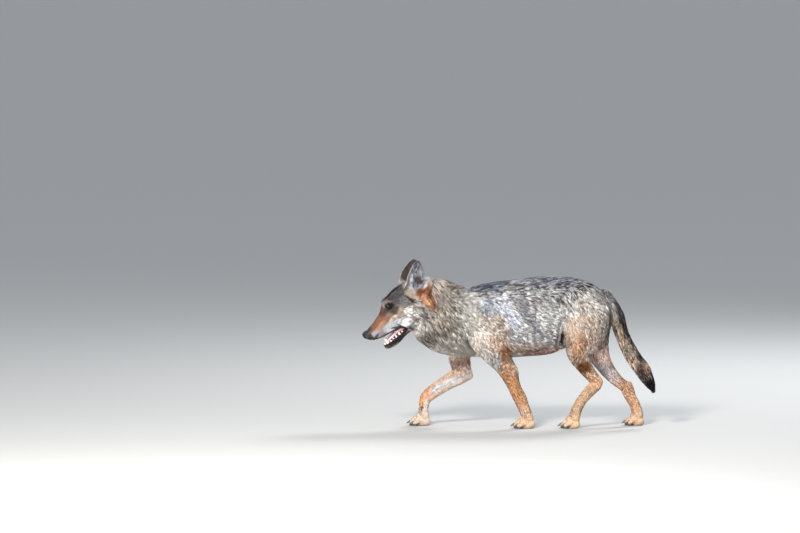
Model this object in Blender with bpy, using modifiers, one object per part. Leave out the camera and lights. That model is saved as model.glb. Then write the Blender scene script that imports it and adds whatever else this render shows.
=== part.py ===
"""A life-size trotting grey wolf, shaped whole and then parted into the pieces a person would name.

Metres, +Z up. The wolf faces -X with its left side towards -Y, and its paws stand on Z = 0.
The outline is that of the coat's tips.
"""

import math
from collections import namedtuple

import bmesh
import bpy
import numpy as np
from mathutils import Matrix, Vector

# ---------------------------------------------------------------- driving sizes
LEFT, RIGHT = -1, 1
GAP = 0.0004  # clearance between neighbouring pieces
VOXEL = 0.0045  # grain of the skin that fuses the rough shapes
SKIN_TRIANGLES = 3900
CENTRING = Vector((-0.0012, 0.0020, 0.0))  # puts the middle of the whole outline over the origin

HEAD_CENTRE = Vector((-0.4158, 0.0, 0.504))
HEAD_PITCH = math.radians(38)
HEAD_YAW = math.radians(12)

# A section across a limb or the trunk: its centre, its half size in the wolf's upright plane,
# its half width sideways, and how far the widest level lies above the middle (-1 to 1).
Section = namedtuple("Section", "x y z tall wide egg", defaults=(0.0,))


def upright(x, top, bottom, wide, egg=0.0):
    """A trunk section from the heights of the back and the belly."""
    return Section(x, 0.0, (top + bottom) / 2, (top - bottom) / 2, wide, egg)


TRUNK = [
    upright(-0.252, 0.542, 0.325, 0.062, 0.00),  # breast
    upright(-0.190, 0.574, 0.300, 0.082, 0.10),
    upright(-0.115, 0.602, 0.290, 0.095, 0.15),  # withers
    upright(-0.030, 0.617, 0.289, 0.104, 0.15),  # elbow
    upright(0.057, 0.627, 0.295, 0.107, 0.05),  # ribs
    upright(0.134, 0.637, 0.301, 0.104, -0.05),  # belly
    upright(0.195, 0.640, 0.320, 0.093, 0.00),
    upright(0.256, 0.637, 0.348, 0.083, 0.05),  # loin
    upright(0.315, 0.620, 0.370, 0.084, 0.05),  # hips
    upright(0.368, 0.594, 0.390, 0.074, 0.00),
    upright(0.408, 0.565, 0.425, 0.054, 0.00),  # rump
]
NECK = [
    Section(-0.385, 0.0, 0.503, 0.108, 0.076),
    Section(-0.340, 0.0, 0.494, 0.130, 0.088),
    Section(-0.285, 0.0, 0.470, 0.151, 0.094, 0.05),
    Section(-0.230, 0.0, 0.447, 0.150, 0.096, 0.10),
    Section(-0.150, 0.0, 0.440, 0.142, 0.094, 0.10),
]
TAIL = [
    Section(0.385, 0.0, 0.565, 0.030, 0.032),
    Section(0.422, 0.0, 0.526, 0.030, 0.032),
    Section(0.442, 0.0, 0.482, 0.028, 0.028),
    Section(0.459, 0.0, 0.432, 0.029, 0.028),
    Section(0.478, 0.0, 0.382, 0.031, 0.030),
    Section(0.501, 0.0, 0.332, 0.033, 0.032),
    Section(0.527, 0.0, 0.287, 0.034, 0.033),
    Section(0.556, 0.0, 0.244, 0.032, 0.031),
    Section(0.581, 0.0, 0.205, 0.028, 0.027),
    Section(0.599, 0.0, 0.172, 0.020, 0.019),
    Section(0.606, 0.0, 0.152, 0.010, 0.010),
]
# The left foreleg carries weight and is swept back.
FORELEG_LEFT = [
    Section(-0.150, -0.055, 0.434, 0.057, 0.038),
    Section(-0.108, -0.069, 0.377, 0.063, 0.040),
    Section(-0.066, -0.076, 0.325, 0.058, 0.038),
    Section(-0.036, -0.078, 0.287, 0.050, 0.034),  # elbow
    Section(-0.012, -0.078, 0.247, 0.038, 0.030),
    Section(0.011, -0.077, 0.200, 0.031, 0.026),
    Section(0.032, -0.075, 0.150, 0.027, 0.024),
    Section(0.052, -0.073, 0.108, 0.027, 0.025),  # wrist
    Section(0.070, -0.071, 0.068, 0.024, 0.026),
    Section(0.079, -0.070, 0.045, 0.025, 0.029),
]
# The right foreleg reaches forward, folded at the elbow and the wrist.
UPPER_ARM_RIGHT = [
    Section(-0.196, 0.053, 0.410, 0.055, 0.038),
    Section(-0.208, 0.065, 0.344, 0.054, 0.040),
    Section(-0.208, 0.071, 0.290, 0.050, 0.036),
    Section(-0.200, 0.073, 0.243, 0.040, 0.031),
    Section(-0.186, 0.073, 0.212, 0.028, 0.026),
]
FOREARM_RIGHT = [
    Section(-0.154, 0.072, 0.207, 0.018, 0.020),  # point of the elbow
    Section(-0.185, 0.072, 0.212, 0.033, 0.028),
    Section(-0.228, 0.070, 0.197, 0.036, 0.028),
    Section(-0.272, 0.067, 0.173, 0.033, 0.025),
    Section(-0.315, 0.065, 0.145, 0.031, 0.024),
    Section(-0.343, 0.064, 0.123, 0.028, 0.024),  # wrist
]
PASTERN_RIGHT = [
    Section(-0.346, 0.064, 0.128, 0.026, 0.023),
    Section(-0.358, 0.064, 0.098, 0.022, 0.022),
    Section(-0.359, 0.063, 0.068, 0.021, 0.025),
    Section(-0.357, 0.063, 0.042, 0.024, 0.029),
]
# The left hind leg swings forward under the body.
HINDLEG_LEFT = [
    Section(0.333, -0.048, 0.515, 0.086, 0.040),
    Section(0.330, -0.059, 0.455, 0.094, 0.044),
    Section(0.324, -0.067, 0.405, 0.089, 0.046),
    Section(0.308, -0.072, 0.360, 0.077, 0.043),
    Section(0.294, -0.074, 0.316, 0.058, 0.037),  # knee
    Section(0.303, -0.074, 0.283, 0.041, 0.031),
    Section(0.322, -0.072, 0.252, 0.032, 0.026),
    Section(0.346, -0.070, 0.223, 0.028, 0.023),
    Section(0.366, -0.069, 0.203, 0.024, 0.021),
]
SHANK_LEFT = [
    Section(0.386, -0.068, 0.203, 0.014, 0.016),  # point of the hock
    Section(0.368, -0.068, 0.186, 0.027, 0.022),
    Section(0.340, -0.067, 0.158, 0.026, 0.021),
    Section(0.316, -0.066, 0.132, 0.024, 0.021),
    Section(0.297, -0.065, 0.105, 0.023, 0.022),
    Section(0.283, -0.065, 0.078, 0.023, 0.025),
    Section(0.275, -0.065, 0.050, 0.024, 0.028),
]
# The right hind leg pushes off behind.
HINDLEG_RIGHT = [
    Section(0.345, 0.048, 0.505, 0.082, 0.040),
    Section(0.350, 0.059, 0.440, 0.086, 0.044),
    Section(0.357, 0.067, 0.385, 0.074, 0.043),
    Section(0.370, 0.072, 0.330, 0.056, 0.039),  # knee
    Section(0.386, 0.073, 0.283, 0.044, 0.034),
    Section(0.410, 0.072, 0.243, 0.035, 0.028),
    Section(0.439, 0.071, 0.207, 0.030, 0.024),
    Section(0.469, 0.070, 0.180, 0.027, 0.022),
    Section(0.488, 0.069, 0.165, 0.023, 0.020),
]
SHANK_RIGHT = [
    Section(0.509, 0.069, 0.178, 0.014, 0.016),  # point of the hock
    Section(0.497, 0.069, 0.160, 0.027, 0.022),
    Section(0.512, 0.069, 0.122, 0.025, 0.021),
    Section(0.532, 0.069, 0.086, 0.023, 0.023),
    Section(0.546, 0.069, 0.050, 0.024, 0.028),
]


def head_section(along, top, bottom, wide, egg=0.0):
    """A section in the head's own frame: along the muzzle, and above or below its axis."""
    return Section(-along, 0.0, (top + bottom) / 2, (top - bottom) / 2, wide, egg)


SKULL = [
    head_section(-0.095, 0.078, -0.060, 0.052),
    head_section(-0.055, 0.097, -0.080, 0.070),
    head_section(-0.010, 0.104, -0.084, 0.075),
    head_section(0.030, 0.106, -0.080, 0.070, 0.05),
    head_section(0.068, 0.098, -0.062, 0.057, 0.20),  # brow
    head_section(0.094, 0.079, -0.044, 0.045, 0.15),  # stop
    head_section(0.116, 0.063, -0.031, 0.039, 0.0),
    head_section(0.156, 0.049, -0.024, 0.034, -0.1),
    head_section(0.188, 0.044, -0.016, 0.031, -0.1),
    head_section(0.210, 0.041, -0.004, 0.026, 0.0),
    head_section(0.224, 0.037, 0.010, 0.019, 0.0),
]
JAW = [
    head_section(0.000, -0.030, -0.084, 0.052),
    head_section(0.045, -0.042, -0.084, 0.044),
    head_section(0.090, -0.054, -0.082, 0.034),
    head_section(0.130, -0.056, -0.089, 0.027),
    head_section(0.165, -0.055, -0.085, 0.022),
    head_section(0.182, -0.057, -0.077, 0.016),
]
TONGUE = [
    head_section(0.080, -0.047, -0.058, 0.012),
    head_section(0.110, -0.048, -0.060, 0.018),
    head_section(0.145, -0.049, -0.060, 0.017),
    head_section(0.168, -0.050, -0.058, 0.012),
]
EYE = Vector((-0.0745, 0.0310, 0.0700))  # of the left eye's centre, with its side turned positive
EYE_RADIUS = 0.0118
NOSE = Vector((-0.2185, 0.0, 0.0265))
NOSE_RADII = (0.0150, 0.0185, 0.0155)

EAR_BASE = Vector((0.0375, 0.028, 0.046))
EAR_HEIGHT = 0.142
EAR_HALF_WIDTH = 0.041
EAR_WALL = 0.008

# Teeth: place along, to the side and above the head's axis, then length and root radius.
CANINE_LOWER = (0.168, 0.0140, -0.066, 0.028, 0.0048)
CANINE_UPPER = (0.184, 0.0190, 0.000, 0.030, 0.0050)

FUR_GREY = (0.30, 0.27, 0.22)
FUR_TAN = (0.52, 0.27, 0.12)
CLAW_HORN = (0.03, 0.025, 0.02)
TONGUE_PINK = (0.60, 0.22, 0.22)
NOSE_BLACK = (0.012, 0.012, 0.014)
EYE_AMBER = (0.25, 0.12, 0.03)

Paw = namedtuple("Paw", "name x y length width")
PAWS = [
    Paw("front_left", 0.063, -0.070, 0.094, 0.076),
    Paw("front_right", -0.374, 0.063, 0.092, 0.076),
    Paw("hind_left", 0.257, -0.065, 0.086, 0.068),
    Paw("hind_right", 0.530, 0.069, 0.086, 0.068),
]
TOE_SLOTS = (-1.5, -0.5, 0.5, 1.5)
CLAW_RADIUS, CLAW_LENGTH = 0.0034, 0.018
DEWCLAWS = {"left": (0.064, -0.0455, 0.082), "right": (-0.364, 0.0385, 0.082)}


# ---------------------------------------------------------------- shaping tools
def finished(name, bm):
    mesh = bpy.data.meshes.new(name)
    bm.to_mesh(mesh)
    bm.free()
    made = bpy.data.objects.new(name, mesh)
    bpy.context.scene.collection.objects.link(made)
    return made


def with_modifiers_applied(obj):
    graph = bpy.context.evaluated_depsgraph_get()
    mesh = bpy.data.meshes.new_from_object(obj.evaluated_get(graph))
    obj.modifiers.clear()
    obj.data = mesh
    return obj


def discard(*objects):
    for obj in objects:
        bpy.data.objects.remove(obj)


def smooth_through(sections, spacing):
    """A Catmull-Rom curve through the sections, read at even steps along their centres."""
    rows = np.array(sections, float)
    rows = np.vstack([2 * rows[0] - rows[1], rows, 2 * rows[-1] - rows[-2]])
    dense = []
    for a, b, c, d in zip(rows, rows[1:], rows[2:], rows[3:]):
        for t in np.linspace(0, 1, 16, endpoint=False):
            bend = (2 * a - 5 * b + 4 * c - d) + t * (3 * (b - c) + d - a)
            dense.append(b + 0.5 * t * ((c - a) + t * bend))
    dense = np.array(dense + [rows[-2]])
    steps = np.linalg.norm(np.diff(dense[:, :3], axis=0), axis=1)
    distance = np.concatenate([[0], np.cumsum(steps)])
    at = np.linspace(0, distance[-1], max(6, round(distance[-1] / spacing)))
    return np.stack([np.interp(at, distance, column) for column in dense.T], axis=1)


def loft(name, sections, sides=20, spacing=0.012, bluntness=0.6):
    """A closed limb: rings through the sections, each square to the path, with domed ends."""
    rows = smooth_through(sections, spacing)
    tangents = np.gradient(rows[:, :3], axis=0)
    tangents /= np.linalg.norm(tangents, axis=1)[:, None]
    rings = list(zip(rows, tangents))
    for end, outward in ((0, -tangents[0]), (-1, tangents[-1])):
        depth = bluntness * min(rows[end, 3], rows[end, 4])
        for turn in (0.32, 0.62, 0.85, 0.98):
            row = rows[end].copy()
            row[:3] += outward * depth * math.sin(turn * math.pi / 2)
            row[3:5] *= max(0.12, math.cos(turn * math.pi / 2))
            rings.insert(len(rings) if end else 0, (row, tangents[end]))

    bm = bmesh.new()
    previous = None
    for row, tangent in rings:
        side = Vector((0, 1, 0)) - Vector(tangent) * tangent[1]
        side.normalize()
        up = side.cross(Vector(tangent))
        circle = bmesh.ops.create_circle(bm, segments=sides, radius=1)["verts"]
        for vert in circle:
            across, above = vert.co.x, vert.co.y
            wide = row[4] * (1 + row[5] * above * (1 if up.z > 0 else -1))
            vert.co = Vector(row[:3]) + side * across * wide + up * above * row[3]
        edges = [e for v in circle for e in v.link_edges]
        edges = list(dict.fromkeys(edges))
        if previous:
            bmesh.ops.bridge_loops(bm, edges=previous + edges)
        previous = edges
    bmesh.ops.holes_fill(bm, edges=[e for e in bm.edges if e.is_boundary], sides=0)
    bmesh.ops.recalc_face_normals(bm, faces=bm.faces)
    return finished(name, bm)


def ellipsoid(name, centre, radii, pitch=0.0, rings=12):
    bm = bmesh.new()
    bmesh.ops.create_uvsphere(bm, u_segments=2 * rings, v_segments=rings, radius=1)
    turn = Matrix.Rotation(math.radians(pitch), 4, "Y")
    bm.transform(Matrix.Translation(centre) @ turn @ Matrix.Diagonal((*radii, 1)))
    return finished(name, bm)


def box(name, low, high, pitch=0.0, pivot=(0, 0, 0)):
    """A box from its corners, turned about a sideways axis through the pivot."""
    low, high, pivot = Vector(low), Vector(high), Vector(pivot)
    bm = bmesh.new()
    bmesh.ops.create_cube(bm, size=1)
    turn = Matrix.Translation(pivot) @ Matrix.Rotation(math.radians(pitch), 4, "Y")
    place = Matrix.Translation((low + high) / 2 - pivot) @ Matrix.Diagonal((*(high - low), 1))
    bm.transform(turn @ place)
    return finished(name, bm)


HEAD_FRAME = (
    Matrix.Translation(HEAD_CENTRE)
    @ Matrix.Rotation(HEAD_YAW, 4, "Z")
    @ Matrix.Rotation(-HEAD_PITCH, 4, "Y")
)


def in_head(obj):
    obj.data.transform(HEAD_FRAME)
    return obj


def fused(name, shapes):
    """One closed skin round overlapping shapes, softened, then thinned where it is plain."""
    bm = bmesh.new()
    for shape in shapes:
        bm.from_mesh(shape.data)
    discard(*shapes)
    whole = finished(name, bm)
    remesh = whole.modifiers.new("skin", "REMESH")
    remesh.mode = "VOXEL"
    remesh.voxel_size = VOXEL
    soften = whole.modifiers.new("soften", "SMOOTH")
    soften.factor = 0.5
    soften.iterations = 3
    with_modifiers_applied(whole)
    thin = whole.modifiers.new("thin", "DECIMATE")
    thin.ratio = SKIN_TRIANGLES / (2 * len(whole.data.polygons))
    thin.use_collapse_triangulate = True
    return with_modifiers_applied(whole)


def grown(obj, amount):
    """A copy pushed out along its normals, for cutting a clearance round a small piece."""
    bm = bmesh.new()
    bm.from_mesh(obj.data)
    bm.normal_update()
    moves = [(vert, vert.normal * amount) for vert in bm.verts]
    for vert, move in moves:
        vert.co += move
    return finished(obj.name + "_clearance", bm)


def grown_box(region, amount):
    """A copy of a box whose six faces are pushed straight out."""
    bm = bmesh.new()
    bm.from_mesh(region.data)
    bm.normal_update()
    moves = [(v, sum((f.normal for f in v.link_faces), Vector()) * amount) for v in bm.verts]
    for vert, move in moves:
        vert.co += move
    return finished(region.name + "_kerf", bm)


def combined(obj, other, operation):
    cut = obj.modifiers.new("cut", "BOOLEAN")
    cut.object = other
    cut.operation = operation
    cut.solver = "EXACT"
    return with_modifiers_applied(obj)


def keep_largest_shell(obj):
    """Drops the crumbs that a thin cut can leave beside the piece itself."""
    bm = bmesh.new()
    bm.from_mesh(obj.data)
    unseen, shells = set(bm.verts), []
    while unseen:
        shell, edge = set(), [unseen.pop()]
        while edge:
            vert = edge.pop()
            shell.add(vert)
            nearby = [e.other_vert(vert) for e in vert.link_edges]
            edge += [v for v in nearby if v in unseen]
            unseen.difference_update(nearby)
        shells.append(shell)
    shells.sort(key=len)
    crumbs = [vert for shell in shells[:-1] for vert in shell]
    bmesh.ops.delete(bm, geom=crumbs, context="VERTS")
    bm.to_mesh(obj.data)
    bm.free()
    return obj


def parted(body, name, region):
    """Takes what lies inside a box out of the body as a piece of its own, leaving a thin gap."""
    piece = bpy.data.objects.new(name, body.data.copy())
    bpy.context.scene.collection.objects.link(piece)
    combined(piece, region, "INTERSECT")
    kerf = grown_box(region, GAP)
    combined(body, kerf, "DIFFERENCE")
    discard(region, kerf)
    return keep_largest_shell(piece)


def seated(piece, host):
    """Cuts the seat of a small hard piece out of the flesh that holds it."""
    clearance = grown(piece, GAP)
    combined(host, clearance, "DIFFERENCE")
    discard(clearance)


# ---------------------------------------------------------------- the ears, paws, claws and teeth
def ear(side):
    """A tall leaf curled round an opening that faces outwards and a little forwards."""
    bm = bmesh.new()
    bmesh.ops.create_grid(bm, x_segments=12, y_segments=12, size=1)
    for vert in bm.verts:
        across, up = vert.co.x, (vert.co.y + 1) / 2
        half_width = EAR_HALF_WIDTH * (1 - min(up, 0.97) ** 2.2) ** 0.75
        curl = math.radians(100 - 62 * up)
        radius = half_width / math.sin(min(curl, math.pi / 2))
        angle = across * curl
        outward = radius * (1 - math.cos(angle)) + 0.012 * up
        vert.co = Vector((radius * math.sin(angle), side * outward, EAR_HEIGHT * up))
    bmesh.ops.recalc_face_normals(bm, faces=bm.faces)
    leaf = finished("ear", bm)
    wall = leaf.modifiers.new("wall", "SOLIDIFY")
    wall.thickness = EAR_WALL
    wall.offset = 0
    with_modifiers_applied(leaf)
    base = HEAD_FRAME @ Vector((EAR_BASE.x, side * EAR_BASE.y, EAR_BASE.z))
    lean_back = Matrix.Rotation(math.radians(9), 4, "Y")
    face_forward = Matrix.Rotation(HEAD_YAW - side * math.radians(14), 4, "Z")
    leaf.data.transform(Matrix.Translation(base) @ face_forward @ lean_back)
    return leaf


def toe_line(paw, slot):
    """A toe's place across the paw, its root, its tip and its radius. Outer toes are set back."""
    outer = abs(slot) > 1
    tip = paw.x - paw.length * (0.36 if outer else 0.50)
    root = tip + paw.length * 0.44
    radius = paw.width * (0.135 if outer else 0.150)
    return paw.y + slot * paw.width * 0.245, root, tip, radius


def paw_shapes(paw):
    heel = Vector((paw.x + paw.length * 0.16, paw.y, 0.016))
    instep = Vector((paw.x + paw.length * 0.06, paw.y, 0.032))
    shapes = [
        ellipsoid("palm", heel, (paw.length * 0.36, paw.width * 0.42, 0.025)),
        ellipsoid("instep", instep, (paw.length * 0.30, paw.width * 0.38, 0.024), 28),
    ]
    for slot in TOE_SLOTS:
        y, root, tip, radius = toe_line(paw, slot)
        sections = [
            Section(root, 0.85 * y + 0.15 * paw.y, 0.026, radius * 1.25, radius),
            Section((root + tip) / 2, y, 0.020, radius * 1.35, radius * 1.02),
            Section(tip + radius, y, 0.011, radius * 1.10, radius * 0.92),
        ]
        shapes.append(loft("toe", sections, sides=14, spacing=0.006, bluntness=0.9))
    return shapes


def claw(name, root, pitch):
    """A blunt horn claw that grows out of the toe and bends down. Pitch -90 is straight ahead."""
    bm = bmesh.new()
    bmesh.ops.create_cone(
        bm,
        cap_ends=True,
        segments=6,
        radius1=CLAW_RADIUS,
        radius2=CLAW_RADIUS * 0.35,
        depth=CLAW_LENGTH,
    )
    bm.transform(Matrix.Translation((0, 0, CLAW_LENGTH / 2)))
    sides = [e for e in bm.edges if abs(e.verts[0].co.z - e.verts[1].co.z) > CLAW_LENGTH / 2]
    bmesh.ops.subdivide_edges(bm, edges=sides, cuts=1)
    for vert in bm.verts:
        bend = (vert.co.z / CLAW_LENGTH) ** 2 * CLAW_LENGTH * 0.30
        vert.co.x = vert.co.x * 1.3 - bend
    bm.transform(Matrix.Translation(root) @ Matrix.Rotation(math.radians(pitch), 4, "Y"))
    return finished(name, bm)


def tooth(place, side, points_up):
    along, across, above, length, radius = place
    bm = bmesh.new()
    bmesh.ops.create_cone(
        bm, cap_ends=True, segments=8, radius1=radius, radius2=radius * 0.25, depth=length
    )
    direction = 1 if points_up else -1
    if not points_up:
        bm.transform(Matrix.Rotation(math.pi, 4, "X"))
    bm.transform(Matrix.Translation((-along, side * across, above + direction * length / 2)))
    return in_head(finished("tooth", bm))


# ---------------------------------------------------------------- the build
def whole_wolf():
    shapes = [
        loft("trunk", TRUNK, sides=28, spacing=0.02, bluntness=0.5),
        loft("neck", NECK, sides=28, spacing=0.02, bluntness=0.3),
        loft("tail", TAIL, sides=16),
        loft("foreleg_left", FORELEG_LEFT),
        loft("upper_arm_right", UPPER_ARM_RIGHT),
        loft("forearm_right", FOREARM_RIGHT),
        loft("pastern_right", PASTERN_RIGHT),
        loft("hindleg_left", HINDLEG_LEFT),
        loft("shank_left", SHANK_LEFT),
        loft("hindleg_right", HINDLEG_RIGHT),
        loft("shank_right", SHANK_RIGHT),
        in_head(loft("skull", SKULL, sides=24, spacing=0.010, bluntness=0.5)),
        in_head(loft("jaw", JAW, sides=18, spacing=0.010, bluntness=0.8)),
    ]
    for side in (LEFT, RIGHT):
        shapes.append(
            ellipsoid("shoulder", (-0.110, side * 0.056, 0.460), (0.078, 0.048, 0.120), 24)
        )
        shapes.append(
            in_head(ellipsoid("cheek", (-0.028, side * 0.036, -0.022), (0.058, 0.042, 0.056)))
        )
        shapes.append(
            in_head(ellipsoid("brow", (-0.062, side * 0.026, 0.078), (0.026, 0.017, 0.019)))
        )
        shapes.append(ear(side))
    for paw in PAWS:
        shapes += paw_shapes(paw)
    return fused("trunk", shapes)


def part_legs(body):
    low, high = -0.05, 0.30
    pieces = [
        parted(body, "paw_front_left", box("cut", (-0.02, -0.13, low), (0.13, 0.0, 0.052))),
        parted(body, "foreleg_left", box("cut", (-0.16, -0.15, low), (0.13, 0.0, 0.289))),
        parted(body, "shoulder_left", box("cut", (-0.19, -0.2, 0.2), (0.02, -0.052, 0.52))),
        parted(body, "paw_front_right", box("cut", (-0.45, 0.0, low), (-0.30, 0.12, 0.052))),
        parted(body, "foreleg_right", box("cut", (-0.45, 0.02, low), (-0.12, 0.15, 0.289))),
        parted(body, "shoulder_right", box("cut", (-0.26, 0.052, 0.2), (-0.05, 0.2, 0.52))),
        parted(body, "paw_hind_left", box("cut", (0.19, -0.12, low), (0.34, 0.0, 0.056))),
        parted(body, "shank_left", box("cut", (0.19, -0.12, low), (0.43, 0.0, 0.220))),
        parted(body, "hindleg_left", box("cut", (0.20, -0.13, low), (0.43, 0.0, 0.334))),
        parted(body, "paw_hind_right", box("cut", (0.46, 0.03, low), (0.62, 0.12, 0.056))),
        parted(body, "shank_right", box("cut", (0.474, 0.038, low), (0.62, 0.12, 0.230))),
        parted(body, "hindleg_right", box("cut", (0.30, 0.0, low), (0.52, 0.13, 0.334))),
        parted(body, "thigh_left", box("cut", (0.215, -0.2, high), (0.46, -0.046, 0.53))),
        parted(body, "thigh_right", box("cut", (0.225, 0.046, high), (0.46, 0.2, 0.53))),
    ]
    return pieces


def part_front_and_tail(body):
    behind_ears = (-0.345, 0.0, 0.620)
    before_shoulders = (-0.206, 0.0, 0.585)
    beside_rump = (0.424, 0.0, 0.540)
    return [
        parted(body, "ear_left", box("cut", (-0.50, -0.15, 0.632), (-0.30, 0.0, 0.8))),
        parted(body, "ear_right", box("cut", (-0.50, 0.0, 0.632), (-0.30, 0.15, 0.8))),
        parted(
            body,
            "head",
            box("cut", (-0.80, -0.2, 0.30), (-0.345, 0.2, 0.72), 15, behind_ears),
        ),
        parted(
            body,
            "neck",
            box("cut", (-0.60, -0.2, 0.20), (-0.206, 0.2, 0.70), 12, before_shoulders),
        ),
        parted(
            body,
            "tail",
            box("cut", (0.424, -0.045, 0.05), (0.80, 0.045, 0.575), -10, beside_rump),
        ),
    ]


def material(name, colour, roughness):
    made = bpy.data.materials.new(name)
    made.use_nodes = True
    shader = made.node_tree.nodes["Principled BSDF"]
    shader.inputs["Base Color"].default_value = (*colour, 1)
    shader.inputs["Roughness"].default_value = roughness
    shader.inputs["Metallic"].default_value = 0
    return made


def dressed(obj, look, group):
    obj.data.materials.clear()
    obj.data.materials.append(look)
    obj.data.shade_smooth()
    bpy.context.scene.collection.objects.unlink(obj)
    group.objects.link(obj)
    obj.data.transform(Matrix.Translation(CENTRING))


def main():
    for obj in list(bpy.data.objects):
        bpy.data.objects.remove(obj)
    group = bpy.data.collections.new("wolf")
    bpy.context.scene.collection.children.link(group)
    fur = material("fur_grey", FUR_GREY, 0.9)
    tan = material("fur_tan", FUR_TAN, 0.9)
    horn = material("claw_horn", CLAW_HORN, 0.45)
    pink = material("tongue_pink", TONGUE_PINK, 0.35)
    black = material("nose_black", NOSE_BLACK, 0.4)
    amber = material("eye_amber", EYE_AMBER, 0.1)

    body = whole_wolf()
    below_floor = box("floor", (-1, -1, -0.2), (1, 1, 0.0))
    combined(body, below_floor, "DIFFERENCE")
    discard(below_floor)
    legs = part_legs(body)
    front = part_front_and_tail(body)
    keep_largest_shell(body)
    pieces = {piece.name: piece for piece in [body, *legs, *front]}

    head = pieces["head"]
    jaw_region = in_head(box("cut", (-0.30, -0.1, -0.13), (-0.066, 0.1, -0.0465)))
    jaw = parted(head, "jaw", jaw_region)
    nose = in_head(ellipsoid("nose", NOSE, NOSE_RADII, rings=6))
    seated(nose, head)
    for side in (LEFT, RIGHT):
        for place, host, points_up in ((CANINE_LOWER, jaw, True), (CANINE_UPPER, head, False)):
            fang = tooth(place, side, points_up)
            combined(host, fang, "UNION")
            discard(fang)
    tongue = in_head(loft("tongue", TONGUE, sides=10, spacing=0.016, bluntness=0.8))
    seated(tongue, jaw)
    claws = []
    for paw in PAWS:
        for number, slot in enumerate(TOE_SLOTS, 1):
            y, _root, tip, _radius = toe_line(paw, slot)
            claws.append(claw(f"claw_{paw.name}_{number}", (tip + 0.0075, y, 0.018), -98))
            seated(claws[-1], pieces["paw_" + paw.name])
    for name, place in DEWCLAWS.items():
        claws.append(claw("dewclaw_" + name, place, -150))
        seated(claws[-1], pieces["foreleg_" + name])
    eyes = []
    for side, word in ((LEFT, "left"), (RIGHT, "right")):
        centre = HEAD_FRAME @ Vector((EYE.x, side * EYE.y, EYE.z))
        eye = ellipsoid("eye_" + word, centre, (EYE_RADIUS,) * 3, rings=6)
        seated(eye, head)
        eyes.append(eye)

    for name, piece in pieces.items():
        dressed(piece, tan if "leg" in name or "shank" in name or "paw" in name else fur, group)
    dressed(jaw, fur, group)
    dressed(tongue, pink, group)
    dressed(nose, black, group)
    for eye in eyes:
        dressed(eye, amber, group)
    for nail in claws:
        dressed(nail, horn, group)


if __name__ == "__main__":
    main()
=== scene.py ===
# %% [markdown]
# # A life-size grey wolf
#
# A lean she-wolf in her summer coat walks past with her head low and her mouth open. The frame
# below is her outline, out to the tips of the hair, parted into pieces. This notebook builds
# what the eye sees: one skin that lies inside that outline, eyes, nose, lips, teeth, tongue and
# claws, and a coat of many thousand small solid locks that follow the lie of the hair.

# %% Load the frame
import math

import bmesh
import bpy
import numpy as np
from mathutils import Matrix, Vector


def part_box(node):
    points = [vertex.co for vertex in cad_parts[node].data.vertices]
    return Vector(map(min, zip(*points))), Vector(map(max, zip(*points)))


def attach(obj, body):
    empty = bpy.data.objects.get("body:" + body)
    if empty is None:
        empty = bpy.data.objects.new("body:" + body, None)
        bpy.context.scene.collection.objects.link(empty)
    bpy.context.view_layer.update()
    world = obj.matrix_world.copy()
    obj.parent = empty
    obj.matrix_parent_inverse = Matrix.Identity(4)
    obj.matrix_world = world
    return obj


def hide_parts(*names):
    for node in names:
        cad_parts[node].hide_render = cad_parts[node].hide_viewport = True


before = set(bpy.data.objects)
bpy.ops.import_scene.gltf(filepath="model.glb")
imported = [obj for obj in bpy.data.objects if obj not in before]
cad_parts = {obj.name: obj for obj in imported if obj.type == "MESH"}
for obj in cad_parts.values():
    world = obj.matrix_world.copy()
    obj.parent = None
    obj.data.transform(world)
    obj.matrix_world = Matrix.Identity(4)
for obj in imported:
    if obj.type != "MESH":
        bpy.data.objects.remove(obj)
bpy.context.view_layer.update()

# %% [markdown]
# The camera comes first, so that every later step can be judged through it. A long lens far away
# flattens the wolf as a wildlife lens does. It looks at the wolf's left side, a little downwards.

# %% Camera
VIEW_WIDTH = 3.36  # metres across the picture at the wolf
CAMERA_DISTANCE = 30.0
CAMERA_ELEVATION = math.radians(4)
LOOK_AT = Vector((-0.459, 0.0, 0.6757))
SENSOR_WIDTH = 36


def in_scene(name, data):
    made = bpy.data.objects.new(name, data)
    bpy.context.scene.collection.objects.link(made)
    return made


camera_data = bpy.data.cameras.new("long_lens")
camera_data.sensor_width = SENSOR_WIDTH
camera_data.lens = SENSOR_WIDTH * CAMERA_DISTANCE / VIEW_WIDTH
camera_data.clip_end = 20 * CAMERA_DISTANCE
camera = in_scene("camera", camera_data)
away = Vector((0, -math.cos(CAMERA_ELEVATION), math.sin(CAMERA_ELEVATION)))
camera.location = LOOK_AT + away * CAMERA_DISTANCE
camera.rotation_euler = (-away).to_track_quat("-Z", "Y").to_euler()
bpy.context.scene.camera = camera
print("lens", round(camera_data.lens), "mm")

# %% [markdown]
# A plain pale floor runs on past the picture's edge. The light is a bright even sky with one
# large soft lamp high on the camera's side, a weak low one beneath it that opens the shadows of
# the belly, and one behind that lifts the back's edge.

# %% Floor and light
FLOOR_SIZE = 400.0
LAMPS_AIM_AT = Vector((0, 0, 0.45))


def new_material(name, roughness, shine=0.5):
    made = bpy.data.materials.new(name)
    made.use_nodes = True
    nodes, links = made.node_tree.nodes, made.node_tree.links
    shader = nodes["Principled BSDF"]
    shader.inputs["Roughness"].default_value = roughness
    shader.inputs["Specular IOR Level"].default_value = shine
    return made, nodes, links, shader


def object_from(name, bm):
    mesh = bpy.data.meshes.new(name)
    bm.to_mesh(mesh)
    bm.free()
    return in_scene(name, mesh)


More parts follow.
